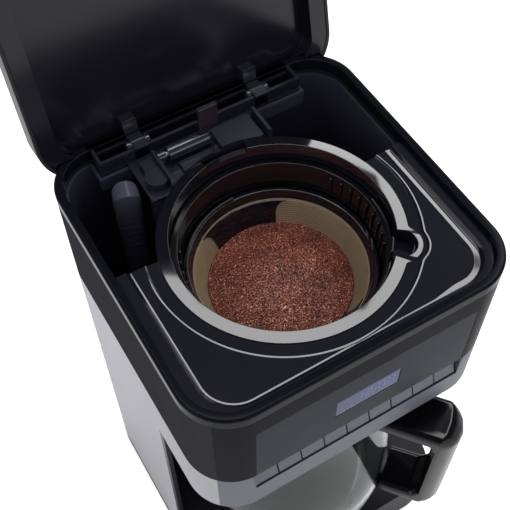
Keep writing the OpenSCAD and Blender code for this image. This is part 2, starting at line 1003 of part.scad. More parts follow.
module hinge_trough() {
    color("#15151b")
        difference() {
            union() {
                difference() {
                    box([-trough_x - trough_wall, trough_front_y - trough_wall, trough_z - trough_wall],
                        [trough_x + trough_wall, hd, body_h - 0.5]);
                    box([-trough_x, trough_front_y, trough_z], [trough_x, hd, body_h]);
                }
                // Ears that hold the hinge pins
                for (s = [-1, 1])
                    for (t = [-1, 1])
                        translate([s * arm_x + t * (arm_w / 2 + side_fit + ear_t / 2), hinge_y, 0]) {
                            box([-ear_t / 2, -ear_r, trough_z - eps], [ear_t / 2, ear_r, hinge_z]);
                            rod_x([0, 0, hinge_z], ear_r, ear_t);
                        }
            }
            outside_rim();
            rod_x([0, hinge_y, hinge_z], hinge_pin_r + 0.02, 2 * trough_x - 4);
            // Notches in the front wall, where the arms swing through
            for (s = [-1, 1])
                translate([s * arm_x, 0, 0])
                    box([-arm_w / 2 - side_fit, trough_front_y - trough_wall - eps, hinge_z - lug_len - 1.5],
                        [arm_w / 2 + side_fit, trough_front_y + eps, body_h]);
        }
}

ear_t = 2.4;
ear_r = 3.2;
lug_len = 6.8;
lug_t = 3.4;

// Everything that the top rim and the rear wall already take
module outside_rim() {
    difference() {
        box([-hw, 0, rim_z - fit], [hw, hd, body_h]);
        slab(rim_w + fit, 0, body_h + eps);
    }
    difference() {
        box([-hw, 0, 0], [hw, hd, body_h]);
        slab(cavity_in + fit, -eps, body_h + eps);
    }
}

// Steel pins of the lid's two arms and of the spray arm
module hinge_pins() {
    color("silver") {
        for (s = [-1, 1])
            rod_x([s * arm_x, hinge_y, hinge_z], hinge_pin_r, arm_w + 2 * side_fit + 2 * ear_t);
        rod_x([side_left_x / 2 + 0.2, barrel_y, barrel_z], arm_pin_r, -side_left_x - 1);
    }
}

// The lid is shaped closed, then turned open about its hinge
module opened() {
    translate([0, hinge_y, hinge_z])
        rotate([-lid_open, 0, 0])
            translate([0, -hinge_y, -hinge_z])
                children();
}

module lid_slab(inset, z0, z1) {
    translate([0, lid_mid_y, z0])
        linear_extrude(z1 - z0)
            rrect(lid_w - 2 * inset, lid_d - 2 * inset, corner_r - inset);
}

// Room of the body, which the open lid and its swing keep clear of
lid_room = 1.2;

module body_room() {
    difference() {
        translate([0, 0, head_z])
            linear_extrude(head_h + lid_room)
                plan(-lid_room);
        box([-trough_x + side_fit, niche_back_y, body_h - rear_notch + lid_gap],
            [trough_x - side_fit, hd + 2 * lid_room, body_h + 2 * lid_room]);
    }
}

module lid_cover() {
    color("#3a3a3c")
        difference() {
            opened()
                difference() {
                    lid_slab(0, lid_z, lid_z + lid_t);
                    lid_slab(lid_skin, lid_z - eps, lid_z + lid_t - lid_skin);
                }
            body_room();
        }
}

module lid_liner() {
    color("#111119")
        difference() {
            opened()
                difference() {
                    lid_slab(lid_skin + fit, lid_z + 0.6, lid_z + lid_t - lid_skin - fit);
                    lid_slab(tray_edge, lid_z - eps, lid_z + tray_depth);
                }
            body_room();
            opened()
                for (s = [-1, 1])
                    translate([s * arm_x, 0, 0])
                        box([-arm_w / 2 - fit, hinge_y - 14, 0],
                            [arm_w / 2 + fit, hd + 5, lid_z + tray_depth]);
        }
}

module lid_arms() {
    color("#15151b")
        for (s = [-1, 1])
            translate([s * arm_x, 0, 0])
                difference() {
                    union() {
                        rod_x([0, hinge_y, hinge_z], 3.6, arm_w);
                        opened() {
                            box([-arm_w / 2, hinge_y - 3.6, hinge_z],
                                [arm_w / 2, hinge_y + 1, lid_z + tray_depth - fit]);
                            box([-arm_w / 2, hinge_y - 13, lid_z + 3],
                                [arm_w / 2, hinge_y - 2, lid_z + tray_depth - fit]);
                        }
                        // Lug that swings down through the notch in the trough's front wall
                        box([-arm_w / 2, hinge_y - lug_len, hinge_z + 1.5],
                            [arm_w / 2, hinge_y + 2, hinge_z + lug_t]);
                    }
                    rod_x([0, hinge_y, hinge_z], hinge_pin_r + run_fit, arm_w + 1);
                    box([-arm_w, hd - rim_w - 3, 0], [arm_w, hd + 0.7, body_h - rear_notch + lid_gap]);
                }
}

// ---------- Basket ----------

module basket_profile() {
    z0 = basket_floor_z;
    flange_r = well_r - ledge_w - side_fit;
    polygon([
        [0, z0],
        [basket_bottom_r + basket_wall, z0],
        [seat_r - seat_w + basket_wall, step_z - 5],
        [seat_r + basket_wall, step_z - 1],
        [seat_r + basket_wall, ledge_z - 2],
        [flange_r, ledge_z - 2],
        [flange_r, ledge_z + fit],
        [basket_rim_r, ledge_z + fit],
        [basket_rim_r, basket_top],
        [basket_r, basket_top],
        [seat_r, step_z],
        [seat_r - seat_w, step_z],
        [basket_bottom_r, z0 + basket_wall],
        [0, z0 + basket_wall]]);
}

bail_w = 2.7;
bail_pin_r = 1;
bail_out_r = basket_rim_r - 0.3;
bail_in_r = bail_out_r - bail_w;
bail_ear_t = 1.5;
bail_rise = 0.6;
bail_end = 1;
bail_z = basket_top + bail_t / 2 + bail_rise;

module filter_basket() {
    color("#0c0b11")
        at_funnel()
            difference() {
                union() {
                    rotate_extrude()
                        basket_profile();
                    disc(drip_r, basket_floor_z - drip_len, basket_floor_z + eps);
                    // Ribs on both sides of the inner wall
                    for (side = [0, 180])
                        for (i = [0:basket_ribs - 1])
                            rotate(side + (i - (basket_ribs - 1) / 2) * 7)
                                box([seat_r + 0.1, -0.7, step_z + 5], [basket_r + 0.8, 0.7, ledge_z + 1]);
                    // Ears for the bail
                    for (s = [-1, 1])
                        translate([s * (bail_in_r - 0.3 - bail_ear_t / 2), 0, 0])
                            box([-bail_ear_t / 2, -2.4, basket_top - 1], [bail_ear_t / 2, 2.4, bail_z + 1.8]);
                }
                disc(valve_bore_r, valve_z, basket_floor_z - 2);
                disc(valve_stem_r + 0.1, 0, basket_top);
                // Outlets round the valve's stem
                for (a = [0:60:300])
                    rotate(a)
                        translate([valve_stem_r + 1.5, 0, basket_floor_z - drip_len - eps])
                            cylinder(r = 0.8, h = drip_len + 10);
                rod_x([0, 0, bail_z], bail_pin_r + run_fit, 3 * basket_r);
            }
}

module basket_handle() {
    color("#1c1c20")
        at_funnel() {
            translate([0, 0, bail_z])
                linear_extrude(bail_t, center = true)
                    difference() {
                        circle(bail_out_r);
                        circle(bail_in_r);
                        translate([-hw, bail_end])
                            square([body_w, hd]);
                    }
            for (s = [-1, 1])
                rod_x([s * (bail_in_r - 0.4), 0, bail_z], bail_pin_r, 2.8);
            // Thumb tab beside the finger pocket
            rotate(-pocket_angle)
                box([bail_in_r + 0.3, -9, bail_z - bail_t / 2], [bail_out_r - 0.3, 9, bail_z + 9]);
        }
}

valve_z = basket_floor_z - drip_len + 3;
valve_tip_z = lid_top_z + 0.6;

module valve_plunger() {
    color("dimgray")
        at_funnel() {
            disc(valve_stem_r, valve_tip_z, basket_floor_z + 3);
            disc(valve_r, valve_z + 2.2, valve_z + 4.2);
            disc(2.4, valve_tip_z, valve_tip_z + 2);
        }
}

module valve_seal() {
    color("firebrick")
        at_funnel()
            ring(valve_r + 0.6, valve_stem_r + 0.1, valve_z + 0.1, valve_z + 2.1);
}

module spring(r, wire, z0, z1) {
    turns = 4;
    for (i = [0:turns])
        translate([0, 0, z0 + wire + (z1 - z0 - 2 * wire) * i / turns])
            rotate_extrude($fn = 32)
                translate([r, 0])
                    circle(wire, $fn = 16);
    box([r - wire / 2, -wire / 2, z0 + wire], [r + wire / 2, wire / 2, z1 - wire]);
}

module valve_spring() {
    color("silver")
        at_funnel()
            spring(2.4, 0.4, valve_z + 4.3, basket_floor_z - 2.1);
}

// ---------- Permanent filter ----------

module cone_shell(outset, t) {
    rotate_extrude()
        polygon([
            [ring_in_r + outset, step_z + eps],
            [filter_floor_r + outset, step_z - filter_depth],
            [filter_floor_r + outset - t, step_z - filter_depth],
            [ring_in_r + outset - t, step_z + eps]]);
}

// Wedges that hold the closed ribs of the frame, front and back
module rib_wedges(extra) {
    a = filter_rib_deg / 2 + extra;
    for (side = [90, 270])
        rotate(side)
            translate([0, 0, step_z - filter_depth - 5])
                linear_extrude(filter_depth + 20)
                    polygon([[0, 0], [glass_r, -glass_r * tan(a)], [glass_r, glass_r * tan(a)]]);
}

module filter_frame() {
    color("#121016")
        at_funnel()
            difference() {
                union() {
                    ring(filter_r, ring_in_r, step_z + fit, step_z + fit + filter_ring_t);
                    intersection() {
                        cone_shell(1.2, filter_t);
                        rib_wedges(0);
                    }
                    // Floor of the cone
                    disc(filter_floor_r + 1.2, step_z - filter_depth - filter_t, step_z - filter_depth + eps);
                    // Collar that joins the ring and the ribs
                    ring(ring_in_r + 0.9, ring_in_r - 0.9, step_z - 4, step_z + fit + 1);
                    // Ears for the bail
                    for (s = [-1, 1])
                        translate([0, s * (fbail_r - 1.1), 0])
                            box([-2.2, -0.7, step_z + 1], [2.2, 0.7, fbail_z + 1.6]);
                }
                rod_y([0, 0, fbail_z], 0.9 + run_fit, 3 * filter_r);
            }
}

module filter_mesh() {
    color("#a18d75")
        at_funnel()
            difference() {
                intersection() {
                    cone_shell(0.8, 0.6);
                    disc(filter_r, step_z - filter_depth + 0.2, step_z - 4 - fit);
                }
                rib_wedges(0.15);
            }
}

fbail_r = ring_in_r + 0.5;
fbail_w = 2.2;
fbail_t = 1.8;
fbail_end = 0.9;
fbail_z = step_z + fit + filter_ring_t + bail_rise + fbail_t / 2;

module filter_handle() {
    color("#1c1c20")
        at_funnel() {
            translate([0, 0, fbail_z])
                linear_extrude(fbail_t, center = true)
                    difference() {
                        circle(fbail_r + fbail_w);
                        circle(fbail_r);
                        translate([fbail_end, -hd])
                            square([hw, body_d]);
                    }
            for (s = [-1, 1])
                rod_y([0, s * (fbail_r - 0.4), fbail_z], 0.9, 2.8);
        }
}

module coffee_grounds() {
    color("#5c382f")
        at_funnel()
            rotate_extrude()
                polygon([
                    [0, step_z - filter_depth + side_fit],
                    [filter_floor_r - coffee_fit, step_z - filter_depth + side_fit],
                    [coffee_r, coffee_z],
                    [coffee_r * 0.8, coffee_z + coffee_heap * 0.45],
                    [coffee_r * 0.5, coffee_z + coffee_heap * 0.8],
                    [coffee_r * 0.2, coffee_z + coffee_heap * 0.97],
                    [0, coffee_z + coffee_heap]]);
}

// ---------- Carafe ----------

// Half outline of the glass: a rounded belly, then a shoulder that runs into the neck
module glass_outline(inset) {
    top = inset > 0 ? glass_top + 5 : glass_top;
    polygon(concat(
        [[0, carafe_z + inset]],
        [for (i = [0:belly_steps])
            [foot_ring_r - inset + (glass_r - foot_ring_r) * sin(90 * i / belly_steps),
             carafe_z + inset + (belly_h - inset) * (1 - cos(90 * i / belly_steps))]],
        [for (i = [1:belly_steps])
            [neck_r - inset + (glass_r - neck_r) * (1 + cos(180 * i / belly_steps)) / 2,
             carafe_z + belly_h + (collar_z + 2 - carafe_z - belly_h) * i / belly_steps]],
        [[neck_r - inset, top], [0, top]]));
}

module carafe_glass() {
    color("lightgray", 0.4)
        at_carafe()
            rotate_extrude()
                difference() {
                    glass_outline(0);
                    glass_outline(glass_t);
                }
}

// Frame of the handle: X outwards from the carafe's axis
module on_handle() {
    at_carafe()
        rotate(-handle_angle)
            children();
}

module carafe_collar() {
    color("#1a1a1d")
        at_carafe()
            ring(neck_r + collar_t, neck_r + fit, collar_z + 2, glass_top);
}

module handle_side() {
    // Side view of the handle: top block, grip and lower strap
    polygon([
        [neck_r + collar_t + fit, collar_z + 2],
        [handle_reach - grip_t - 8, collar_z + 2],
        [handle_reach - grip_t, collar_z - 8],
        [handle_reach - grip_t - 1, handle_bottom_z + strap_h + 8],
        [handle_reach - grip_t - 8, handle_bottom_z + strap_h],
        [glass_r + 0.6, handle_bottom_z + strap_h],
        [glass_r + 0.6, handle_bottom_z],
        [handle_reach - 8, handle_bottom_z],
        [handle_reach - 2, handle_bottom_z + 8],
        [handle_reach, handle_z - 22],
        [handle_reach - 4, handle_z - 8],
        [handle_reach - 14, handle_z],
        [neck_r + collar_t + fit, handle_z]]);
}

lid_axis_x = neck_r + collar_t + 9;
lid_axis_z = glass_top - 1;
lever_w = 20;

module carafe_handle() {
    color("#1c1c1c")
        on_handle()
            difference() {
                intersection() {
                    rotate([90, 0, 0])
                        linear_extrude(handle_w, center = true)
                            handle_side();
                    translate([0, 0, carafe_z])
                        linear_extrude(head_z)
                            union() {
                                translate([0, -handle_w / 2])
                                    square([handle_reach - handle_w / 2, handle_w]);
                                translate([handle_reach - handle_w / 2, 0])
                                    circle(handle_w / 2);
                            }
                }
                // Slot for the lid's lever
                box([0, -lever_w / 2 - side_fit, lid_axis_z - 6],
                    [lid_axis_x + 12, lever_w / 2 + side_fit, body_h]);
                rod_y([lid_axis_x, 0, lid_axis_z], 1.5 + 0.02, handle_w - 4 + fit);
            }
}

module carafe_lid_pin() {
    color("silver")
        on_handle()
            rod_y([lid_axis_x, 0, lid_axis_z], 1.5, handle_w - 4);
}

module carafe_lid() {
    color("#2a2c2e")
        difference() {
            union() {
                at_carafe() {
                    disc(neck_r + 1.6, glass_top + side_fit, glass_top + 4);
                    translate([0, 0, glass_top + 4 - eps])
                        cylinder(r1 = neck_r + 1.6, r2 = neck_r - 4, h = carafe_lid_h - 4 + eps);
                    ring(neck_r - glass_t - 0.6, neck_r - glass_t - 2.4, glass_top - 8, glass_top + 2);
                }
                on_handle() {
                    box([neck_r - 4, -lever_w / 2, glass_top + side_fit],
                        [lid_axis_x + 9, lever_w / 2, glass_top + 6]);
                    rod_y([lid_axis_x, 0, lid_axis_z], 4, lever_w);
                }
            }
            // Inlet dish, wide enough for the drip tube above
            difference() {
                at_carafe()
                    disc(30, glass_top + 3, lid_top_z + 1);
                // Pad that meets the drip valve
                at_funnel()
                    disc(5, 0, lid_top_z);
            }
            at_carafe()
                disc(3, glass_top - 1, lid_top_z);
            on_handle()
                rod_y([lid_axis_x, 0, lid_axis_z], 1.5 + run_fit, handle_w);
        }
}

// ---------- Heater ----------

module warming_plate() {
    color("#2c2c2e")
        at_carafe() {
            disc(plate_r, base_h, base_h + plate_t);
            ring(plate_r, plate_r - 2, base_h - 4, base_h + eps);
        }
}

module plate_seal() {
    color("#0c0c0c")
        at_carafe()
            ring(plate_r + seal_w - fit, plate_r + fit, base_h - 4, base_h + 0.6);
}

water_z = base_h - 10;
stub_len = 18;
hose_start = 7;
left_a = 180 - acos(riser_x / heater_r);
right_a = acos(outlet_x / heater_r);
left_end_y = -carafe_y + heater_r * sin(left_a);
right_end_y = -carafe_y + heater_r * sin(right_a);

// Bow of the heater round the middle of the plate
module heater_bow(z) {
    translate([0, -carafe_y, z])
        rotate([0, 0, left_a])
            rotate_extrude(angle = 360 - left_a + right_a)
                translate([heater_r, 0])
                    children();
}

// Straight end of the water channel, which a hose slides over
module heater_stub(x, y) {
    difference() {
        rod_y([x, y + stub_len / 2 - 1, water_z], spigot_r, stub_len + 2);
        rod_y([x, y + stub_len / 2, water_z], spigot_r - 1.2, stub_len + 6);
    }
}

module heating_element() {
    color("gainsboro") {
        heater_bow(base_h - fit - heater_h / 2)
            difference() {
                square([heater_w, heater_h], center = true);
                translate([0, fit + heater_h / 2 - base_h + water_z])
                    circle(spigot_r - 1.2);
            }
        heater_stub(-riser_x, left_end_y);
        heater_stub(outlet_x, right_end_y);
    }
}

module thermostat() {
    color("tan")
        at_carafe() {
            disc(9, base_h - 9, base_h - fit);
            box([-14, -3, base_h - 11], [14, 3, base_h - 9 + eps]);
            for (x = [-11, 11])
                translate([x, 0, 0])
                    disc(1.5, base_h - 20, base_h - 11 + eps);
        }
}

board_z = foot_h + pan_floor_t + 3;
board_t = 1.6;
board_side = 12;
board_w = 32;
board_d = 60;
board_post_r = 2;
relay_w = 20;
relay_d = 18;
relay_h = 12.5;

module power_board() {
    color("darkgreen") {
        // The board, a relay on it and the two posts under it
        translate([-hw + board_side, -board_d / 3, 0]) {
            box([0, 0, board_z], [board_w, board_d, board_z + board_t]);
            box([4, 6, board_z + board_t - eps], [4 + relay_w, 6 + relay_d, board_z + board_t + relay_h]);
            for (y = [4, board_d - 4])
                translate([board_w - 4, y, 0])
                    disc(board_post_r, foot_h + pan_floor_t, board_z + eps);
        }
    }
}

// Hose along Y that turns up at its rear end
module hose(x, y0, y1, top, bore) {
    difference() {
        union() {
            translate([x, y1, 0])
                disc(hose_r, water_z, top);
            translate([x, y1, water_z])
                sphere(hose_r);
            rod_y([x, (y0 + y1) / 2, water_z], hose_r, y1 - y0);
        }
        translate([x, y1, 0])
            disc(bore, water_z, top + eps);
        rod_y([x, (y0 + y1) / 2 - eps, water_z], hose_in_r, y1 - y0 + 2 * eps);
    }
}

// The cold hose from the tank to the heater, and the hot one from the heater to the riser
module water_hoses() {
    color("whitesmoke") {
        hose(outlet_x, right_end_y + hose_start, outlet_y, tank_z - fit, hose_in_r);
        hose(-riser_x, left_end_y + hose_start, riser_y, base_h + 10, riser_r + 0.02);
    }
}

feet();
base_pan();
base_cover();
base_shell();
column_shell();
head_shell();
steel_wrap();
side_band();
top_rim();
fascia();
display_panel();
lcd_lens();
lcd_module();
chin_strip();
key_1();
key_2();
key_3();
key_4();
key_5();
key_6();
key_7();
key_8();
key_9();
key_board();
display_board();
deck();
brew_well();
water_tank();
bridge();
spray_arm();
hinge_trough();
hinge_pins();
lid_arms();
lid_cover();
lid_liner();
filter_basket();
basket_handle();
valve_plunger();
valve_spring();
valve_seal();
filter_frame();
filter_mesh();
filter_handle();
coffee_grounds();
filter_pillar();
carafe_glass();
carafe_collar();
carafe_handle();
carafe_lid();
carafe_lid_pin();
warming_plate();
plate_seal();
heating_element();
thermostat();
power_board();
water_hoses();
riser_tube();
rear_cover();
cord_inlet();
screws();
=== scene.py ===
# %% [markdown]
# # A drip coffee maker with its lid open
#
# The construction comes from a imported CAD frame: sixty solids that ride on moving bodies. This
# script gives each of them its looks. Where a solid is already right it keeps its mesh and gets a
# material. Where the eye would miss rounded edges, ribs, woven mesh or coffee grains, a modelled
# piece takes its place and rides on the same body.

# %% Load the frame
import json
import math
import random

import bmesh
import bpy
from mathutils import Matrix, Vector, noise

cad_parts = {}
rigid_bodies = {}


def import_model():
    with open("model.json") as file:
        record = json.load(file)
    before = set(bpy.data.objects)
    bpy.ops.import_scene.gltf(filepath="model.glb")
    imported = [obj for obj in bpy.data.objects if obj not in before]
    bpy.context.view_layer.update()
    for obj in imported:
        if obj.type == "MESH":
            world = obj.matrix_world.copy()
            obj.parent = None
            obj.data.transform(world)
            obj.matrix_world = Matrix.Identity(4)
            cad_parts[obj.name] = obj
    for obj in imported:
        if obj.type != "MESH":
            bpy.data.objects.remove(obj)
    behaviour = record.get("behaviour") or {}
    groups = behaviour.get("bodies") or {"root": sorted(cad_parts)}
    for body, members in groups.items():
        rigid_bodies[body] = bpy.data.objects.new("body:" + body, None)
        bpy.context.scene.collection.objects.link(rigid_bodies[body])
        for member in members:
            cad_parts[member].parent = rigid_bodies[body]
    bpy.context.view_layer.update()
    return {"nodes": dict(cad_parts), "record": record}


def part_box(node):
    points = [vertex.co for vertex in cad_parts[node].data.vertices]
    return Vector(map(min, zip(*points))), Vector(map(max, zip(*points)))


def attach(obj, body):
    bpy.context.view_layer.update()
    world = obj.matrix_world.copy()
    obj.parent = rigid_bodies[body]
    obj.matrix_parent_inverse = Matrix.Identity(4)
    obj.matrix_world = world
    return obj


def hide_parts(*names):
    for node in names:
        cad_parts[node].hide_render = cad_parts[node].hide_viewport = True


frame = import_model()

MM = 0.001

# %% [markdown]
# ## Camera
#
# The machine is seen from above its front left corner, close enough for the near edges to spread.
# A camera is placed by where it stands and which way it looks; the roll is under half a degree.

# %% Place the camera
EYE = Vector((-0.164126, -0.262162, 0.756110))
LOOK = Vector((0.28235, 0.48771, -0.82609)).normalized()
RIGHT = Vector((0.85988, -0.51044, -0.00745))
IMAGE = 510
FOCAL_PX = 922.80
SENSOR = 36.0

side = (RIGHT - LOOK * RIGHT.dot(LOOK)).normalized()
camera_data = bpy.data.cameras.new("camera")
camera_data.sensor_width = SENSOR
camera_data.lens = SENSOR * FOCAL_PX / IMAGE
camera_data.shift_y = -0.5 / IMAGE
camera_data.clip_start = 0.01
camera = bpy.data.objects.new("camera", camera_data)
bpy.context.scene.collection.objects.link(camera)
axes = Matrix((side, side.cross(LOOK), -LOOK)).transposed()
camera.matrix_world = Matrix.Translation(EYE) @ axes.to_4x4()
bpy.context.scene.camera = camera
bpy.context.scene.view_settings.view_transform = "Standard"
print("lens", round(camera_data.lens, 2), "mm")

# %% [markdown]
# ## Shader maths
#
# A material is a graph of nodes, and long graphs are hard to read as code. A small class wraps a
# node's output and overloads the usual operators, so that `0.4 + 0.2 * grain` adds its own Math
# nodes. One method on the sheet adds every other kind of node.

# %% A socket that can be reckoned with, and a sheet that adds nodes
class Socket:
    def __init__(self, sheet, output):
        self.sheet = sheet
        self.output = output

    def maths(self, operation, *terms):
        return self.sheet.node("ShaderNodeMath", {"operation": operation}, dict(enumerate(terms)))

    def __add__(self, other):
        return self.maths("ADD", self, other)

    def __radd__(self, other):
        return self.maths("ADD", other, self)

    def __sub__(self, other):
        return self.maths("SUBTRACT", self, other)

    def __rsub__(self, other):
        return self.maths("SUBTRACT", other, self)

    def __mul__(self, other):
        return self.maths("MULTIPLY", self, other)

    def __rmul__(self, other):
        return self.maths("MULTIPLY", other, self)

    def sine(self):
        return self.maths("SINE", self)


class Sheet:
    """The node sheet of one material or of the world."""

    def __init__(self, tree):
        self.tree = tree
        tree.nodes.clear()

    def node(self, kind, settings=None, inputs=None, output=0):
        made = self.tree.nodes.new(kind)
        for key, value in (settings or {}).items():
            if key == "stops":
                ramp = made.color_ramp
                while len(ramp.elements) < len(value):
                    ramp.elements.new(1.0)
                for element, (place, colour) in zip(ramp.elements, value):
                    element.position = place
                    element.color = (*colour, 1.0)
            else:
                setattr(made, key, value)
        for key, value in (inputs or {}).items():
            socket = made.inputs[key]
            if isinstance(value, Socket):
                self.tree.links.new(value.output, socket)
            elif socket.type == "RGBA" and len(value) == 3:
                socket.default_value = (*value, 1.0)
            else:
                socket.default_value = value
        return Socket(self, made.outputs[output]) if made.outputs else None

    def colour_mix(self, factor, first, second):
        return self.node("ShaderNodeMix", {"data_type": "RGBA", "blend_type": "MIX", "clamp_factor": True},
                         {0: factor, 6: first, 7: second}, output=2)


def rgb(red, green, blue):
    """A screen colour from 0 to 255 as the linear value that a shader takes."""
    def linear(value):
        value /= 255
        return value / 12.92 if value <= 0.04045 else ((value + 0.055) / 1.055) ** 2.4
    return tuple(round(linear(v), 5) for v in (red, green, blue))


print("middle grey", rgb(128, 128, 128)[0])

# %% [markdown]
# ## Stage and light
#
# A product on white: the camera and clear glass see a white world, and the floor glows for the
# camera. Mirrors see another world, pale at the horizon and dark overhead, and everything else gets
# an even grey light. Black glossy plastic shows hardly any colour of its own, only what it mirrors,
# so the lamps are laid out by what each surface should mirror. Four panels lie in one slanted plane
# above and behind the machine and frame a dark window. The flat deck mirrors the window and stays
# black; a surface that slopes by a few degrees, as the funnel's lip does, mirrors a panel and turns
# bright. Two weak lamps, at the left and in front, fill in the rest.

# %% Floor, world and lamps
def new_sheet(owner):
    """An empty sheet of nodes for a material or a world."""
    owner.use_nodes = True
    return Sheet(owner.node_tree)


def build_floor():
    """White to the camera, on a plain diffuse surface that takes the shadows."""
    mesh = bpy.data.meshes.new("floor")
    reach = 6.0
    corners = [(-reach, -reach, 0), (reach, -reach, 0), (reach, reach, 0), (-reach, reach, 0)]
    mesh.from_pydata(corners, [], [(0, 1, 2, 3)])
    floor = bpy.data.objects.new("floor", mesh)
    bpy.context.scene.collection.objects.link(floor)
    sheet = new_sheet(bpy.data.materials.new("floor"))
    path = sheet.node("ShaderNodeLightPath")
    glossy = Socket(sheet, path.output.node.outputs["Is Glossy Ray"])
    diffuse = sheet.node("ShaderNodeBsdfDiffuse", inputs={"Color": (0.85, 0.85, 0.85)})
    strength = path * 0.6 + glossy * 0.1
    glow = sheet.node("ShaderNodeEmission", inputs={"Color": (1, 1, 1), "Strength": strength})
    both = sheet.node("ShaderNodeAddShader", inputs={0: diffuse, 1: glow})
    sheet.node("ShaderNodeOutputMaterial", inputs={"Surface": both})
    mesh.materials.append(bpy.data.materials["floor"])


def build_world():
    """White to the camera and through glass, dark overhead to mirrors, and even grey as light."""
    world = bpy.data.worlds.new("studio")
    bpy.context.scene.world = world
    sheet = new_sheet(world)
    path = sheet.node("ShaderNodeLightPath")
    outputs = path.output.node.outputs
    glossy = Socket(sheet, outputs["Is Glossy Ray"])
    seen = path + Socket(sheet, outputs["Is Transmission Ray"])
    direction = sheet.node("ShaderNodeTexCoord", output=0)
    parts = sheet.node("ShaderNodeSeparateXYZ", inputs={0: direction}, output=2)
    stops = [(0.0, (0.9, 0.9, 0.9)), (0.20, (0.6, 0.62, 0.66)), (0.42, (0.13, 0.14, 0.17)),
             (0.8, (0.10, 0.10, 0.13))]
    horizon = sheet.node("ShaderNodeValToRGB", {"stops": stops}, {0: parts})
    level = sheet.colour_mix(glossy, (0.62, 0.62, 0.64), horizon)
    colour = sheet.colour_mix(seen, level, (1, 1, 1))
    back = sheet.node("ShaderNodeBackground", inputs={"Color": colour, "Strength": 1.0})
    sheet.node("ShaderNodeOutputWorld", inputs={"Surface": back})


def area_lamp(name, width, height, power, matrix):
    """A rectangular lamp; sizes are in metres and the matrix says where it stands and shines."""
    data = bpy.data.lights.new(name, "AREA")
    data.shape = "RECTANGLE"
    data.size = width
    data.size_y = height
    data.energy = power
    lamp = bpy.data.objects.new(name, data)
    lamp.matrix_world = matrix
    bpy.context.scene.collection.objects.link(lamp)


build_floor()
build_world()

# The plane of the panels: a point in it and its two directions, level and upwards.
MIDDLE = Vector((0.474, 0.703, 1.687))
ACROSS = Vector((0.829, -0.559, 0.0))
UPWARDS = Vector((-0.474, -0.703, 0.530))
FACING = Matrix((ACROSS, -UPWARDS, -ACROSS.cross(UPWARDS))).transposed()
PANEL_LEVEL = 5.5
PANELS = {  # distance across and upwards from the middle, width and height
    "right panel": (0.675, -0.04, 0.35, 1.54),
    "top panel": (-0.10, 0.625, 1.2, 0.45),
    "left panel": (-0.665, 0.30, 0.37, 0.2),
    "low panel": (0.27, -0.81, 0.46, 0.38),
}
for name, (u, v, width, height) in PANELS.items():
    place = MIDDLE + ACROSS * u + UPWARDS * v
    power = PANEL_LEVEL * math.pi * width * height
    area_lamp(name, width, height, power, Matrix.Translation(place) @ FACING.to_4x4())

# The fill lamps shine at a point just below the rim.
TARGET = Vector((0.0, 0.0, 0.33))
FILLS = {  # place, width, height and watts
    "left fill": ((-1.9, -0.2, 1.1), 0.8, 1.2, 5),
    "front fill": ((0.5, -1.9, 1.0), 1.4, 0.9, 4),
}
for name, (place, width, height, power) in FILLS.items():
    place = Vector(place)
    turn = (TARGET - place).to_track_quat("-Z", "Y").to_matrix().to_4x4()
    area_lamp(name, width, height, power, Matrix.Translation(place) @ turn)

# %% [markdown]
# ## Finishes
#
# Each finish starts from the real stuff it stands for. Moulded plastic is nearly one colour, but its
# gloss wanders a little and a fine grain breaks the mirror; brushed steel is a mirror torn into thin
# upright scratches. What varies over the surface goes only into colour, roughness and bump.

# %% Helpers that every finish uses
def new_finish(name):
    """A new material and its empty sheet of nodes."""
    material = bpy.data.materials.new(name)
    return material, new_sheet(material)


def place_on_object(sheet, stretch=(1, 1, 1)):
    """Object coordinates in millimetres, stretched along the axes."""
    here = sheet.node("ShaderNodeTexCoord", output=3)
    return sheet.node("ShaderNodeVectorMath", {"operation": "MULTIPLY"},
                      {0: here, 1: tuple(s / MM for s in stretch)})


def noise_at(sheet, place, per_mm, detail=3.0):
    """Smooth noise from 0 to 1; per_mm is how many of its swells fit in a millimetre."""
    return sheet.node("ShaderNodeTexNoise", {"noise_dimensions": "3D"},
                      {"Vector": place, "Scale": per_mm, "Detail": detail})


def close_sheet(sheet, colour, roughness, bump=None, strength=0.1, depth=0.00005, **constants):
    """Ends a sheet in a Principled surface; the depth of its bump is in metres."""
    surface = {"Base Color": colour, "Roughness": roughness}
    if bump is not None:
        surface["Normal"] = sheet.node("ShaderNodeBump", inputs={
            "Strength": strength, "Distance": depth, "Height": bump})
    for key, value in constants.items():
        surface[key.replace("_", " ")] = value
    shader = sheet.node("ShaderNodeBsdfPrincipled", inputs=surface)
    sheet.node("ShaderNodeOutputMaterial", inputs={"Surface": shader})


BROAD = 0.035
FINE = 1.6
print("noise: broad swells of", round(1 / BROAD), "mm and a grain of", round(1 / FINE, 1), "mm")

# %% [markdown]
# Five kinds of stuff need a recipe of their own. Each recipe is a function, so that the list of
# finishes that follows can stay as short as a colour chart.

# %% Recipes
def moulded(name, colour, roughness, spread=0.05, grain=0.12, specular=0.5):
    """Plastic or paint: an even colour, a wandering gloss and a fine grain."""
    material, sheet = new_finish(name)
    place = place_on_object(sheet)
    cloud = noise_at(sheet, place, BROAD)
    fine = noise_at(sheet, place, FINE, 2.0)
    shade = sheet.colour_mix(cloud, tuple(c * 0.88 for c in colour), tuple(c * 1.12 for c in colour))
    gloss = roughness + spread * (cloud - 0.5) * 2 + 0.02 * fine
    close_sheet(sheet, shade, gloss, fine, grain, Specular_IOR_Level=specular)
    return material


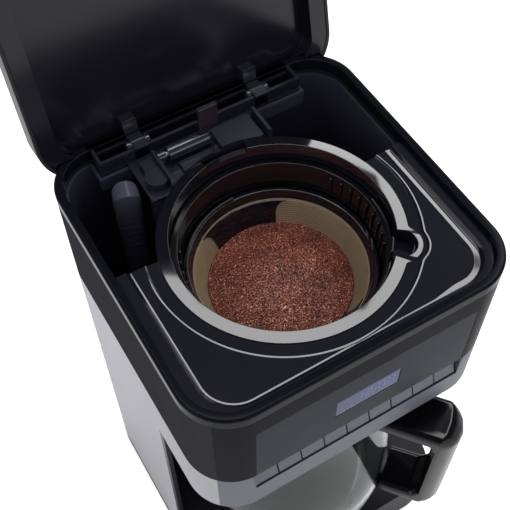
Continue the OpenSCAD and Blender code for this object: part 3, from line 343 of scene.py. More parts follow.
def brushed(name, colour, roughness, stretch, darker=0.8):
    """Metal with fine scratches that run along the axis whose stretch is smallest."""
    material, sheet = new_finish(name)
    place = place_on_object(sheet, stretch)
    lines = noise_at(sheet, place, 2.2, 4.0)
    broad = noise_at(sheet, place_on_object(sheet), 0.02)
    tone = sheet.colour_mix(lines, tuple(c * darker for c in colour), colour)
    close_sheet(sheet, tone, roughness + 0.14 * lines + 0.08 * broad, lines, 0.12, Metallic=1.0)
    return material


FUNNEL_Y = (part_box("filter_basket")[0][1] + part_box("filter_basket")[1][1]) / 2 / MM
UPRIGHT_THREADS = 300


def woven(name, thread, shade, pitch=1.3):
    """Fine cloth on an upright cone: round threads that cross, one set level and one upright."""
    material, sheet = new_finish(name)
    parts = sheet.node("ShaderNodeSeparateXYZ", inputs={0: place_on_object(sheet)})
    height = Socket(sheet, parts.output.node.outputs["Z"])
    turn = sheet.node("ShaderNodeMath", {"operation": "ARCTAN2"},
                      {0: Socket(sheet, parts.output.node.outputs["Y"]) - FUNNEL_Y, 1: parts})
    level = (height * (2 * math.pi / pitch)).sine()
    upright = (turn * UPRIGHT_THREADS).sine()
    weave = 0.5 + 0.4 * level + 0.1 * upright
    cloud = noise_at(sheet, place_on_object(sheet), 0.12)
    tone = sheet.colour_mix(weave * 0.75 + cloud * 0.35, shade, thread)
    close_sheet(sheet, tone, 0.42 + 0.1 * cloud, weave, 0.6, 0.0002)
    return material


def ground(name):
    """Roasted grains: a speckle of browns, a few pale specks of painted glint, and swells of painted shade.
    """
    material, sheet = new_finish(name)
    grain = noise_at(sheet, place_on_object(sheet), 1.15, 1.0)
    broad = noise_at(sheet, place_on_object(sheet), 0.06)
    # The palest stop is a painted glint on the grains; the broad noise paints the heap's shading in swells.
    stops = [(0.34, rgb(30, 10, 7)), (0.47, rgb(106, 46, 31)), (0.58, rgb(158, 80, 56)),
             (0.70, rgb(238, 180, 148))]
    tone = sheet.node("ShaderNodeValToRGB", {"stops": stops}, {0: 0.8 * grain + 0.2 * broad})
    close_sheet(sheet, tone, 0.38 + 0.3 * grain, grain, 0.3, 0.0002, Specular_IOR_Level=0.6)
    return material


def clear(name):
    """Clear glass with a faint tint of green."""
    material, sheet = new_finish(name)
    cloud = noise_at(sheet, place_on_object(sheet), 0.03)
    tone = sheet.colour_mix(cloud, rgb(236, 242, 240), rgb(244, 248, 248))
    close_sheet(sheet, tone, 0.01 + 0.02 * cloud, Transmission_Weight=1.0, IOR=1.46)
    return material


print("funnel's axis at y", round(FUNNEL_Y, 2), "mm")

# %% [markdown]
# The chart of finishes. The blacks differ mostly in gloss: the deck and the funnel are polished,
# the hinge parts a little less, and the base and the lid's skin are satin. The side skin, the
# fascia and the rim hardly mirror at all, so they keep a low specular level.

# %% The chart of finishes
FINISH = {
    "body_black": moulded("body_black", rgb(34, 34, 38), 0.42, specular=0.2),
    "inner_black": moulded("inner_black", rgb(17, 17, 24), 0.07, 0.015, 0.0, 0.8),
    "side_dark": moulded("side_dark", rgb(60, 60, 63), 0.5, 0.05, 0.3, 0.0),
    "steel": brushed("steel", rgb(186, 185, 190), 0.26, (1, 1, 0.03)),
    "fascia_grey": moulded("fascia_grey", rgb(30, 30, 34), 0.24, 0.03, 0.1, 0.01),
    "rim_grey": moulded("rim_grey", rgb(15, 17, 22), 0.12, 0.02, 0.0, 0.06),
    "panel_grey": moulded("panel_grey", rgb(50, 52, 58), 0.2, 0.03, 0.05, 0.02),
    "lens": moulded("lens", rgb(41, 50, 102), 0.10, 0.02, 0.0, 0.25),
    "key_grey": moulded("key_grey", rgb(108, 113, 120), 0.34, 0.04, 0.3, 0.2),
    "lid_black": moulded("lid_black", rgb(20, 20, 28), 0.16, 0.02, 0.0),
    "lid_skin": moulded("lid_skin", rgb(36, 36, 39), 0.34, 0.05, 0.2, 0.3),
    "hinge_black": moulded("hinge_black", rgb(30, 31, 41), 0.14, 0.03, 0.0, 0.8),
    "basket_black": moulded("basket_black", rgb(13, 12, 17), 0.16, 0.02, 0.0, 0.5),
    "mesh": woven("mesh", rgb(158, 137, 108), rgb(76, 64, 48)),
    "coffee": ground("coffee"),
    "tank_smoke": moulded("tank_smoke", rgb(54, 54, 68), 0.14, 0.03, 0.0),
    "glass": clear("glass"),
    "handle_black": moulded("handle_black", rgb(10, 10, 13), 0.10, 0.02, 0.0, 0.35),
    "plate_black": moulded("plate_black", rgb(40, 40, 42), 0.35, 0.06, 0.2),
    "rubber": moulded("rubber", rgb(26, 26, 26), 0.75, 0.1, 0.3, 0.3),
    "silicone": moulded("silicone", rgb(222, 222, 216), 0.5),
    "seal_red": moulded("seal_red", rgb(150, 60, 52), 0.5),
    "heater_cast": brushed("heater_cast", rgb(205, 205, 205), 0.42, (0.4, 0.4, 0.4)),
    "bright_steel": brushed("bright_steel", rgb(210, 210, 212), 0.18, (0.1, 1, 1)),
    "board": moulded("board", rgb(30, 96, 56), 0.4),
    "bakelite": moulded("bakelite", rgb(150, 110, 78), 0.5),
    "tube_clear": moulded("tube_clear", rgb(214, 218, 218), 0.2),
}
print("finishes:", len(FINISH))

# %% [markdown]
# ## Dressing the solids
#
# The record says which finish each solid takes. A CAD solid has knife edges, and an edge without a
# radius never catches the light, so the visible ones are copied, welded and given a small round.
# Weighted normals then keep the flats flat, although they share their corners with the rounds.

# %% Give every solid its finish, and set up how a new piece joins the model
SLOT = {part["node"]: part["material_slot"] for part in frame["record"]["subparts"]}
BODY = {node: body for body, nodes in frame["record"]["behaviour"]["bodies"].items() for node in nodes}
for node, thing in frame["nodes"].items():
    thing.data.materials.clear()
    thing.data.materials.append(FINISH[SLOT[node]])


def add_piece(name, verts, faces, node, replaces=None, finish=None, unit=MM):
    """A mesh that rides with a node and takes its place, or adds to it if replaces is empty.

    Places are in millimetres. Faces that are wound the wrong way enclose a negative volume, and
    glass only bends light as a wall does if they are turned.
    """
    mesh = bpy.data.meshes.new(name)
    mesh.from_pydata([tuple(unit * c for c in v) for v in verts], [], faces)
    mesh.validate()
    shape = bmesh.new()
    shape.from_mesh(mesh)
    if shape.calc_volume(signed=True) < 0:
        bmesh.ops.reverse_faces(shape, faces=shape.faces)
        shape.to_mesh(mesh)
    shape.free()
    mesh.shade_smooth()
    mesh.materials.append(FINISH[finish or SLOT[node]])
    piece = bpy.data.objects.new(name, mesh)
    bpy.context.scene.collection.objects.link(piece)
    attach(piece, BODY[node])
    if replaces != []:
        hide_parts(*(replaces or [node]))
    return piece


def settle(piece, angle=35):
    """Faces that meet at more than an angle (in degrees) keep a crisp edge; the flats stay flat."""
    piece.data.set_sharp_from_angle(angle=math.radians(angle))
    weigh = piece.modifiers.new("flats", "WEIGHTED_NORMAL")
    weigh.keep_sharp = True
    return piece


WELD = 2e-6
FLAT = math.radians(0.5)


def welded(node):
    """A solid's corners and faces, with the triangles of each flat joined again."""
    shape = bmesh.new()
    shape.from_mesh(frame["nodes"][node].data)
    bmesh.ops.remove_doubles(shape, verts=shape.verts, dist=WELD)
    bmesh.ops.dissolve_limit(shape, angle_limit=FLAT, verts=shape.verts, edges=shape.edges)
    shape.verts.index_update()
    verts = [tuple(v.co) for v in shape.verts]
    faces = [[v.index for v in f.verts] for f in shape.faces]
    shape.free()
    return verts, faces


def softened(node, radius=0.4, angle=35, steps=2):
    """A copy of a solid with its sharp edges rounded by a radius in millimetres."""
    verts, faces = welded(node)
    piece = add_piece(node + "_soft", verts, faces, node, unit=1)
    bevel = piece.modifiers.new("round", "BEVEL")
    bevel.width = radius * MM
    bevel.segments = steps
    bevel.limit_method = "ANGLE"
    bevel.angle_limit = math.radians(angle)
    weigh = piece.modifiers.new("flats", "WEIGHTED_NORMAL")
    weigh.weight = 100
    return piece


KEYS = ["key_%d" % n for n in range(1, 10)]
SOFT_EDGED = ["bridge", "spray_arm", "hinge_trough", "lid_arms", "lid_cover", "lid_liner", "carafe_lid",
              "filter_pillar", "display_panel"] + KEYS
for node in SOFT_EDGED:
    softened(node)
print("solids with soft edges:", len(SOFT_EDGED), "of", len(SLOT))

# %% [markdown]
# ## Ways to make a form
#
# Nearly every part of this machine is a section carried along a path: round the rounded square of
# the body, or round the axis of the funnel. A loft takes the sections as rings of points and joins
# each to the next. A section's corners are rounded first, in the plane, where that is easy.

# %% Sections, paths and lofts, in millimetres
def millimetres(node):
    """The low and the high corner of a solid's box."""
    low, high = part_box(node)
    return [c / MM for c in low], [c / MM for c in high]


RIM_LOW, RIM_HIGH = millimetres("top_rim")
HALF = RIM_HIGH[0]
CORNER = 30.0
PER_CORNER = 20
SIDE_SHARE = 0.45
STRAIGHT = math.pi - 0.02


def rounded(points, radius, steps=3):
    """A closed outline with each corner turned into an arc; a list gives each corner its radius.

    An arc takes at most a fixed share of the sides it joins, so that two arcs never meet.
    """
    made = []
    count = len(points)
    for k, here in enumerate(points):
        size = radius[k] if isinstance(radius, (list, tuple)) else radius
        before = Vector(points[k - 1]) - Vector(here)
        after = Vector(points[(k + 1) % count]) - Vector(here)
        turn = before.angle(after)
        if size <= 0 or turn > STRAIGHT:
            made.append(tuple(here))
            continue
        reach = min(size / math.tan(turn / 2), SIDE_SHARE * before.length, SIDE_SHARE * after.length)
        size = reach * math.tan(turn / 2)
        start = Vector(here) + before.normalized() * reach
        end = Vector(here) + after.normalized() * reach
        halfway = (before.normalized() + after.normalized()).normalized()
        middle = Vector(here) + halfway * size / math.sin(turn / 2)
        a, b = start - middle, end - middle
        sweep = a.angle(b)
        for n in range(steps + 1):
            f = n / steps
            p = middle + (a * math.sin((1 - f) * sweep) + b * math.sin(f * sweep)) / math.sin(sweep)
            made.append(tuple(p))
    return made


def loft(rings, joined=False):
    """Joins closed rings of equal length by quads; the last joins the first, or both ends are capped."""
    size = len(rings[0])
    verts = [p for ring in rings for p in ring]
    faces = []
    spans = len(rings) if joined else len(rings) - 1
    for r in range(spans):
        a, b = r * size, ((r + 1) % len(rings)) * size
        for k in range(size):
            n = (k + 1) % size
            faces.append((a + k, a + n, b + n, b + k))
    if not joined:
        faces.append(tuple(range(size))[::-1])
        faces.append(tuple(range((len(rings) - 1) * size, len(rings) * size)))
    return verts, faces


def merged(*parts):
    """Several lofts as one mesh."""
    verts, faces = [], []
    for more_verts, more_faces in parts:
        start = len(verts)
        verts += more_verts
        faces += [tuple(start + k for k in face) for face in more_faces]
    return verts, faces


def body_path(first, last):
    """Stations along the rounded square, counter-clockwise from above, between two angles of turn.

    A station is the corner's centre and the direction outwards. Turn 0 is the right-hand side,
    90 the back, 180 the left and 270 the front.
    """
    stations = []
    reach = HALF - CORNER
    for quarter in range(-4, 8):
        start = quarter * 90
        middle = start + 45
        centre = (math.copysign(reach, math.cos(math.radians(middle))),
                  math.copysign(reach, math.sin(math.radians(middle))))
        for n in range(PER_CORNER + 1):
            turn = start + 90 * n / PER_CORNER
            if first - 1e-6 <= turn <= last + 1e-6:
                stations.append((centre, math.radians(turn)))
    return stations


def on_station(station, inset, z):
    """A point on the body's outline at a station, moved inwards."""
    (cx, cy), turn = station
    return (cx + (CORNER - inset) * math.cos(turn), cy + (CORNER - inset) * math.sin(turn), z)


def lathe(section, centre, first=0, last=360, steps=180):
    """Turns a section of (radius, height) points about an upright axis."""
    joined = last - first >= 360
    count = steps if joined else steps + 1
    rings = []
    for n in range(count):
        turn = math.radians(first + (last - first) * n / steps)
        c, s = math.cos(turn), math.sin(turn)
        rings.append([(centre[0] + r * c, centre[1] + r * s, z) for r, z in section])
    return loft(rings, joined)


def block(low, high, radius, steps):
    """A box whose upright edges and top and bottom edges are rounded."""
    (x0, y0, z0), (x1, y1, z1) = low, high
    radius = min(radius, SIDE_SHARE * min(x1 - x0, y1 - y0, z1 - z0))
    rings = []
    for side, z in ((-1, z0), (1, z1)):
        levels = range(steps + 1) if side < 0 else range(steps, -1, -1)
        for n in levels:
            slope = math.pi / 2 * n / steps
            inset = radius * (1 - math.sin(slope))
            height = z - side * radius * (1 - math.cos(slope))
            outline = [(x0 + inset, y0 + inset), (x1 - inset, y0 + inset), (x1 - inset, y1 - inset),
                       (x0 + inset, y1 - inset)]
            rings.append([(x, y, height) for x, y in rounded(outline, max(radius - inset, 0.02), steps)])
    return loft(rings)


print("body", round(2 * HALF, 1), "mm wide, rim at", round(RIM_HIGH[2], 1))

# %% [markdown]
# ## Top rim
#
# A frame of dark plastic that closes the side skins. Its outer edge is well rounded and its inner
# edge is nearly sharp. A square bar with a bevel would lose that difference, so the section is drawn
# and carried round the body. The CAD rim dips at the back, where the lid's hinge stands in its
# trough. Here the section drops at both sides of the trough, but body_path also gives a last
# station at the left corner, so a bar of full height still runs across the dip.

# %% Top rim
FUNNEL = [(a + b) / 2 for a, b in zip(*millimetres("filter_basket"))][:2]
RIM_W = 5.5
TROUGH_X = 66.5
NOTCH = 5.5
rim_section = rounded([(0, RIM_LOW[2]), (0, RIM_HIGH[2]), (RIM_W, RIM_HIGH[2]), (RIM_W, RIM_LOW[2])],
                      [0.2, 1.7, 0.7, 0.2], 5)
low_section = [(u, min(z, RIM_HIGH[2] - NOTCH)) for u, z in rim_section]


def rim_rings():
    """The section at every station, from the trough's left end round the front and back again."""
    left_end = ((-TROUGH_X, HALF - CORNER), math.radians(90))
    right_end = ((TROUGH_X, HALF - CORNER), math.radians(90))
    rings = [[on_station(left_end, u, z) for u, z in low_section],
             [on_station(left_end, u, z) for u, z in rim_section]]
    for centre, turn in body_path(90, 450):
        right_of_start = centre[0] > 0 and centre[1] > 0 and turn < math.radians(100)
        if not right_of_start:
            rings.append([on_station((centre, turn), u, z) for u, z in rim_section])
    rings.append([on_station(right_end, u, z) for u, z in rim_section])
    rings.append([on_station(right_end, u, z) for u, z in low_section])
    return rings


settle(add_piece("rim", *loft(rim_rings(), joined=True), "top_rim"))
print("rim section has", len(rim_section), "points")

# %% [markdown]
# ## The funnel's outline
#
# From above, the funnel is a circle with a finger pocket let into its wall, so that a fingertip can
# reach the bail. The radius is a function of the direction: the larger of the plain circle and the
# far side of the pocket's circle. On the outside of the lip the meeting of the two is rounded.

# %% Radii round the funnel
POCKET_TURN = -38.0
POCKET_PLACE = 66.2
POCKET_OUT_R = 12.4
POCKET_IN_R = 9.0
POCKET_BLEND = 1.2
POCKET_MARGIN = 4
WELL_R = 63.8
LIP_R = 71.0
LIP_TOP = 338.0
LIP_FOOT = 334.5


def about_funnel(turn, radius, height):
    """A point given by its direction from the funnel's axis in degrees, its distance and height."""
    turn = math.radians(turn)
    return (FUNNEL[0] + radius * math.cos(turn), FUNNEL[1] + radius * math.sin(turn), height)


def larger(a, b, blend):
    """The larger of two lengths, with a soft change from one to the other."""
    return (a + b + math.hypot(a - b, blend)) / 2 if blend else max(a, b)


def with_pocket(plain, pocket, turn, blend=0.0):
    """Radius of a circle about the funnel that bulges round the finger pocket."""
    off = math.radians((turn - POCKET_TURN + 180) % 360 - 180)
    across = POCKET_PLACE * math.sin(off)
    if abs(off) > math.pi / 2 or abs(across) >= pocket:
        return plain
    far = POCKET_PLACE * math.cos(off) + math.sqrt(pocket ** 2 - across ** 2)
    return larger(plain, far, blend) if far > plain - POCKET_MARGIN else plain


def lip_outside(turn):
    """Outer radius of the lip in a direction."""
    return with_pocket(LIP_R, POCKET_OUT_R, turn, POCKET_BLEND)


def lip_inside(turn):
    """Inner radius of the lip in a direction."""
    return with_pocket(WELL_R, POCKET_IN_R, turn)


def to_body(turn, inset):
    """Distance from the funnel's axis to the body's rounded square, moved inwards."""
    c, s = math.cos(math.radians(turn)), math.sin(math.radians(turn))
    half, round_r = HALF - inset, CORNER - inset
    reach = min((half / abs(c)) if abs(c) > 1e-9 else 1e9,
                ((math.copysign(half, s) - FUNNEL[1]) / s) if abs(s) > 1e-9 else 1e9)
    x, y = reach * c, FUNNEL[1] + reach * s
    flat = half - round_r
    if abs(x) > flat and abs(y) > flat:
        dx, dy = -math.copysign(flat, x), FUNNEL[1] - math.copysign(flat, y)
        along = dx * c + dy * s
        reach = -along + math.sqrt(max(along ** 2 - (dx ** 2 + dy ** 2 - round_r ** 2), 0))
    return reach


print("pocket bulges to", round(lip_outside(POCKET_TURN), 1), "mm")

# %% [markdown]
# ## Deck
#
# The deck is one glossy moulding: a sunk field round the funnel with one fine step in it, and a
# raised border. Along the border's foot runs a shallow gutter that falls outwards by nine degrees.
# It is a fine line most of the way round and broad on the right, where it mirrors a panel as one
# long bar. A plain lathe can't make this, because the field is round and the border is square. So
# the deck is drawn as lines from rear edge to rear edge, and each is joined to the next.

# %% Lines of the deck
DECK_LOW, DECK_HIGH = millimetres("deck")
DECK_REAR = DECK_HIGH[1]
RING_R = 77.7
RING_EDGE_R = 80.0
FRONT_OUT = 4.0
LINE_GAP = 0.25
GUTTER_FINE = 0.7
GUTTER_EXTRA = 2.1
GUTTER_MIDDLE = -8
GUTTER_REACH = 52
GUTTER_FADE = 8


def deck_line(radius_at, height, stations):
    """Points from the rear edge on the left, round the front, to the rear edge on the right."""
    def end(on_right):
        """The direction in which the line meets the rear edge, closed in on from a first guess."""
        turn = 15.0
        for _ in range(30):
            radius = radius_at(turn if on_right else 180 - turn)
            turn = math.degrees(math.asin((DECK_REAR - FUNNEL[1]) / radius))
        return turn
    first, last = 180 - end(False), 360 + end(True)
    line = []
    for n in range(stations + 1):
        turn = first + (last - first) * n / stations
        line.append(about_funnel(turn, radius_at(turn), height(turn) if callable(height) else height))
    return line


def border(turn, inset, place):
    """A line of the raised border; it lies further out in front, and it never meets the ring."""
    c, s = math.cos(math.radians(turn)), math.sin(math.radians(turn))
    half, front, round_r = HALF - inset, HALF - inset + FRONT_OUT, CORNER - inset + FRONT_OUT
    reach = half / abs(c) if abs(c) > 1e-9 else 1e9
    if s < -1e-9:
        reach = min(reach, (-front - FUNNEL[1]) / s)
        x, y = reach * c, FUNNEL[1] + reach * s
        if abs(x) > half - round_r and y < -(front - round_r):
            dx, dy = -math.copysign(half - round_r, x), FUNNEL[1] + front - round_r
            along = dx * c + dy * s
            reach = -along + math.sqrt(max(along ** 2 - (dx ** 2 + dy ** 2 - round_r ** 2), 0))
    return max(reach, ring_at(turn, RING_EDGE_R) + LINE_GAP * place)


def ring_at(turn, radius):
    """A line of the field's step: a circle that gives way to the finger pocket."""
    return larger(radius, lip_outside(turn) + 2.0 + (radius - RING_R), 1.0)


def gutter(turn):
    """Width of the shallow gutter along the border: broad on the right, a fine line elsewhere."""
    off = abs((turn - GUTTER_MIDDLE + 180) % 360 - 180)
    return GUTTER_FINE + GUTTER_EXTRA * min(max((GUTTER_REACH - off) / GUTTER_FADE, 0), 1)


print("gutter:", gutter(GUTTER_MIDDLE), "mm on the right,", gutter(180), "mm on the left")

# %% [markdown]
# Each line of the deck is a radius and a height, both of which may depend on the direction. They
# run from the funnel's lip outwards to the rim, so the list reads like a section of the moulding:
# the gap round the lip, the step, the sunk field, the gutter and the border.

# %% Deck
FIELD = LIP_TOP
SUNK = FIELD - 0.15
BORDER = 14.1
GUTTER_TOP = SUNK - 0.01
GUTTER_FALL = 0.157
DECK_STATIONS = 420
deck_lines = [
    (lambda t: lip_outside(t) + 0.15, DECK_LOW[2]),
    (lambda t: lip_outside(t) + 0.15, FIELD - 1.6),
    (lambda t: lip_outside(t) + 0.45, FIELD - 1.4),
    (lambda t: ring_at(t, RING_R - 0.1), FIELD - 1.4),
    (lambda t: ring_at(t, RING_R + 0.2), FIELD - 1.2),
    (lambda t: ring_at(t, RING_R + 0.7), FIELD - 0.15),
    (lambda t: ring_at(t, RING_R + 1.0), FIELD),
    (lambda t: ring_at(t, RING_R + 1.6), SUNK + 0.05),
    (lambda t: ring_at(t, RING_R + 2.2), SUNK),
    (lambda t: border(t, BORDER + 0.2 + gutter(t), 0), SUNK),
    (lambda t: border(t, BORDER + 0.05 + gutter(t), 1), GUTTER_TOP),
    (lambda t: border(t, BORDER, 2), lambda t: GUTTER_TOP - GUTTER_FALL * gutter(t)),
    (lambda t: border(t, BORDER - 0.2, 3), lambda t: GUTTER_TOP - GUTTER_FALL * gutter(t)),
    (lambda t: border(t, BORDER - 0.5, 4), lambda t: SUNK + 0.1 - 0.15 * gutter(t)),
    (lambda t: border(t, BORDER - 1.9, 5), DECK_HIGH[2] - 0.15),
    (lambda t: border(t, BORDER - 2.2, 6), DECK_HIGH[2]),
    (lambda t: to_body(t, RIM_W + 0.6), DECK_HIGH[2]),
    (lambda t: to_body(t, RIM_W + 0.15), DECK_HIGH[2] - 0.4),
    (lambda t: to_body(t, RIM_W + 0.15), DECK_LOW[2]),
]
lines = [deck_line(radius_at, height, DECK_STATIONS) for radius_at, height in deck_lines]
deck = add_piece("deck_moulding", *loft([list(ring) for ring in zip(*lines)]), "deck")
settle(deck)
print("deck:", len(deck.data.polygons), "faces")

# %% [markdown]
# ## Brew funnel
#
# Its lip is a band that falls a little towards the outside, perhaps to lead spilt water to the deck.
# The slope also turns it to a panel of light, while the flat deck beside it stays black. At the back
# the lip is left open for the water spout. Inside, a narrow shelf carries the basket's rim.

# %% Brew funnel
GAP_TURN = 12.4
LIP_SLOPE = math.tan(math.radians(9))
WALL_R = WELL_R + 2.6
SHELF_R = 61.2
SHELF_TOP = 322.0
POCKET_FLOOR = 328.0
OUTLET_R = 12.0
FLOOR_TOP = 229.5
FLOOR_FOOT = 227.0
LIP_STATIONS = 720
GAP_STATIONS = 20


def lip_section(inside, outside):
    """The lip from its outer foot over the slope to its inner edge, with a small round at both."""
    fall = (outside - inside - 0.9) * LIP_SLOPE
    return [(outside, LIP_FOOT), (outside, LIP_TOP - fall - 0.5), (outside - 0.15, LIP_TOP - fall - 0.12),
            (outside - 0.45, LIP_TOP - fall), (inside + 0.45, LIP_TOP), (inside + 0.15, LIP_TOP - 0.12),
            (inside, LIP_TOP - 0.5)]


def funnel_section(turn, with_lip=True):
    """The whole section in one direction; in the gap the lip's points lie flat on the wall's top."""
    inside, outside = lip_inside(turn), lip_outside(turn)
    foot_r = max(WALL_R, inside + 3.4)
    section = lip_section(inside, outside)
    if not with_lip:
        section = [(min(r, foot_r), LIP_FOOT - 0.001 * k) for k, (r, z) in enumerate(section)]
    pocketed = inside > WELL_R + 0.01
    floor_z = POCKET_FLOOR if pocketed else SHELF_TOP + 0.4
    section += [(inside, floor_z), (WELL_R - 0.4, floor_z), (SHELF_R + 0.4, SHELF_TOP),
                (SHELF_R, SHELF_TOP - 0.4), (SHELF_R, SHELF_TOP - 2.2), (WELL_R, SHELF_TOP - 5.0),
                (WELL_R, FLOOR_TOP), (OUTLET_R, FLOOR_TOP), (OUTLET_R, FLOOR_FOOT), (WALL_R, FLOOR_FOOT),
                (WALL_R, 325.0), (foot_r, 326.0), (foot_r, LIP_FOOT - 0.3)]
    return [about_funnel(turn, r, z) for r, z in section]


rings = []
for n in range(LIP_STATIONS + 1):
    rings.append(funnel_section(90 + GAP_TURN + n * (360 - 2 * GAP_TURN) / LIP_STATIONS))
for n in range(GAP_STATIONS + 1):
    rings.append(funnel_section(90 - GAP_TURN + n * GAP_TURN / (GAP_STATIONS / 2), with_lip=False))
funnel = add_piece("funnel_moulding", *loft(rings, joined=True), "brew_well")
settle(funnel)
print("funnel section has", len(rings[0]), "points")

# %% [markdown]
# ## Filter basket
#
# The basket drops into the funnel on its rim. Its wall steps in where the filter sits, and fine
# upright ribs stand at both sides, perhaps to let air out past the filter. A turned section makes
# the body with its drip tube; the ribs are small blocks set into the wall.

# %% Filter basket
RIBS = 9
RIB_STEP = 7
RIB_LOW = (57.7, -1.0, 307.5)
RIB_HIGH = (59.6, 1.0, 322.6)


def placed(shape, turn):
    """A form that is made on the +X side of the funnel, moved round to a direction."""
    verts, faces = shape
    c, s = math.cos(math.radians(turn)), math.sin(math.radians(turn))
    return [(FUNNEL[0] + x * c - y * s, FUNNEL[1] + x * s + y * c, z) for x, y, z in verts], faces


basket_section = rounded(
    [(63.2, 322.1), (63.2, 325.5), (59.5, 325.5), (58.3, 304.0), (58.0, 302.4), (55.8, 302.4), (55.4, 300.6),
     (47.0, 238.2), (44.0, 237.5), (4.6, 236.6), (4.6, 235.2), (8.0, 234.6), (8.0, 217.0), (10.0, 217.0),
     (10.0, 233.0), (48.6, 235.8), (57.0, 300.6), (60.0, 303.0), (61.0, 322.1)],
    [0.3, 0.55, 0.55, 2, 0.3, 0.5, 2, 3, 1, 0.3, 0.3, 0.6, 0.3, 0.3, 1, 1, 1, 1, 0.3], 3)
basket_parts = [lathe(basket_section, FUNNEL, steps=240)]
for side_turn in (0, 180):
    for n in range(RIBS):
        rib = block(RIB_LOW, RIB_HIGH, 0.5, 3)
        basket_parts.append(placed(rib, side_turn + RIB_STEP * (n - RIBS // 2)))
settle(add_piece("basket_moulding", *merged(*basket_parts), "filter_basket"))
print("basket ribs:", 2 * RIBS)

# %% [markdown]
# The basket lifts out by a bail, a half ring that lies flat on the basket's front. A thumb tab
# stands up from it in the finger pocket; its top stays a hair below the top of the CAD tab.

# %% Basket bail with its thumb tab
BAIL_LOW, BAIL_HIGH = millimetres("basket_handle")
BAIL_IN_R, BAIL_OUT_R = 60.2, 62.85
BAIL_HALF = 1.2
TAB_HALF = 5.6
bail_z = BAIL_LOW[2] + BAIL_HALF
bail_section = rounded([(BAIL_IN_R, bail_z - BAIL_HALF), (BAIL_OUT_R, bail_z - BAIL_HALF),
                        (BAIL_OUT_R, bail_z + BAIL_HALF), (BAIL_IN_R, bail_z + BAIL_HALF)],
                       [0.8, 0.8, 0.9, 0.9], 3)
tab = block((BAIL_IN_R, -TAB_HALF, bail_z - 1.0),
            (BAIL_OUT_R - 0.05, TAB_HALF, BAIL_HIGH[2] - 0.02), 1.1, 4)
bail_parts = [lathe(bail_section, FUNNEL, 181.0, 359.0, 150), placed(tab, POCKET_TURN)]
settle(add_piece("basket_bail", *merged(*bail_parts), "basket_handle"))
print("thumb tab stands", round(BAIL_HIGH[2] - bail_z, 1), "mm above the bail's middle")

# %% [markdown]
# ## Permanent filter
#
# A ring and two closed panels carry a cone of woven mesh. The panels widen in a quarter round where
# they run into the ring, which gives the mesh windows their round top corners.

# %% Filter frame and mesh
RING_TOP = 306.1
RING_FOOT = 302.6
CONE_FOOT = 250.7
CONE_TOP_R = 53.6
CONE_FOOT_R = 26.0
PANEL_TURN = 27.5
WINDOW_TOP = 299.6
WINDOW_ROUND = 7.0


def cone_radius(height):
    """Radius of the mesh at a height."""
    return CONE_FOOT_R + (height - CONE_FOOT) / (RING_FOOT - CONE_FOOT) * (CONE_TOP_R - CONE_FOOT_R)


def sheet_of(inner, outer):
    """A thin wall between two grids of points that have the same rows and columns."""
    rows, columns = len(inner), len(inner[0])
    verts = [p for row in inner for p in row] + [p for row in outer for p in row]
    half = rows * columns
    faces = []
    for r in range(rows - 1):
        for c in range(columns - 1):
            a = r * columns + c
            faces.append((a, a + columns, a + columns + 1, a + 1))
            faces.append((half + a, half + a + 1, half + a + columns + 1, half + a + columns))
    edge = ([c for c in range(columns)] + [r * columns + columns - 1 for r in range(1, rows)]
            + [(rows - 1) * columns + c for c in range(columns - 2, -1, -1)]
            + [r * columns for r in range(rows - 2, 0, -1)])
    for k, a in enumerate(edge):
        b = edge[(k + 1) % len(edge)]
        faces.append((a, b, half + b, half + a))
    return verts, faces


def closed_panel(middle):
    """One of the two walls between the mesh windows, wider at its top by the windows' rounds."""
    inner, outer = [], []
    foot = CONE_FOOT + 1.0
    heights = [foot + (WINDOW_TOP - foot) * n / 40 for n in range(38)]
    heights += [WINDOW_TOP - WINDOW_ROUND * (1 - math.sin(math.pi / 2 * n / 10)) for n in range(11)]
    heights = sorted(set(round(z, 4) for z in heights))
    for z in heights:
        depth = max(0.0, z - (WINDOW_TOP - WINDOW_ROUND))
        extra = WINDOW_ROUND - math.sqrt(max(WINDOW_ROUND ** 2 - depth ** 2, 0))
        reach = PANEL_TURN + math.degrees(extra / cone_radius(z))
        turns = [middle + reach * (2 * n / 24 - 1) for n in range(25)]
        inner.append([about_funnel(t, cone_radius(z) - 1.0, z) for t in turns])
        outer.append([about_funnel(t, cone_radius(z) + 0.5, z) for t in turns])
    return sheet_of(inner, outer)


ring_section = rounded([(57.55, RING_FOOT), (57.55, RING_TOP), (54.2, RING_TOP), (53.4, RING_FOOT + 0.6),
                        (52.0, WINDOW_TOP), (53.2, WINDOW_TOP), (54.6, RING_FOOT)],
                       [0.3, 0.9, 0.8, 0.4, 0.3, 0.2, 0.3], 4)
floor_section = rounded([(0.0, CONE_FOOT - 1.4), (CONE_FOOT_R, CONE_FOOT - 1.4),
                         (CONE_FOOT_R + 0.9, CONE_FOOT + 1.4), (CONE_FOOT_R - 0.9, CONE_FOOT + 1.4),
                         (CONE_FOOT_R - 1.4, CONE_FOOT), (0.0, CONE_FOOT)],
                        [0, 0.4, 0.3, 0.3, 0.3, 0], 2)
frame_parts = [lathe(ring_section, FUNNEL, steps=240), lathe(floor_section, FUNNEL, steps=96),
               closed_panel(90), closed_panel(270)]
settle(add_piece("filter_frame_moulding", *merged(*frame_parts), "filter_frame"))

MESH_FOOT, MESH_TOP = CONE_FOOT + 0.6, WINDOW_TOP + 0.8
MESH_ROWS = 24
heights = [MESH_FOOT + (MESH_TOP - MESH_FOOT) * n / MESH_ROWS for n in range(MESH_ROWS + 1)]
mesh_section = [(cone_radius(z) - 0.35, z) for z in heights]
mesh_section += [(cone_radius(z) - 0.1, z) for z in reversed(heights)]
add_piece("woven_cone", *lathe(mesh_section, FUNNEL, steps=240), "filter_mesh")
print("mesh cone: from", round(cone_radius(CONE_FOOT), 1), "to", round(cone_radius(RING_FOOT), 1), "mm")

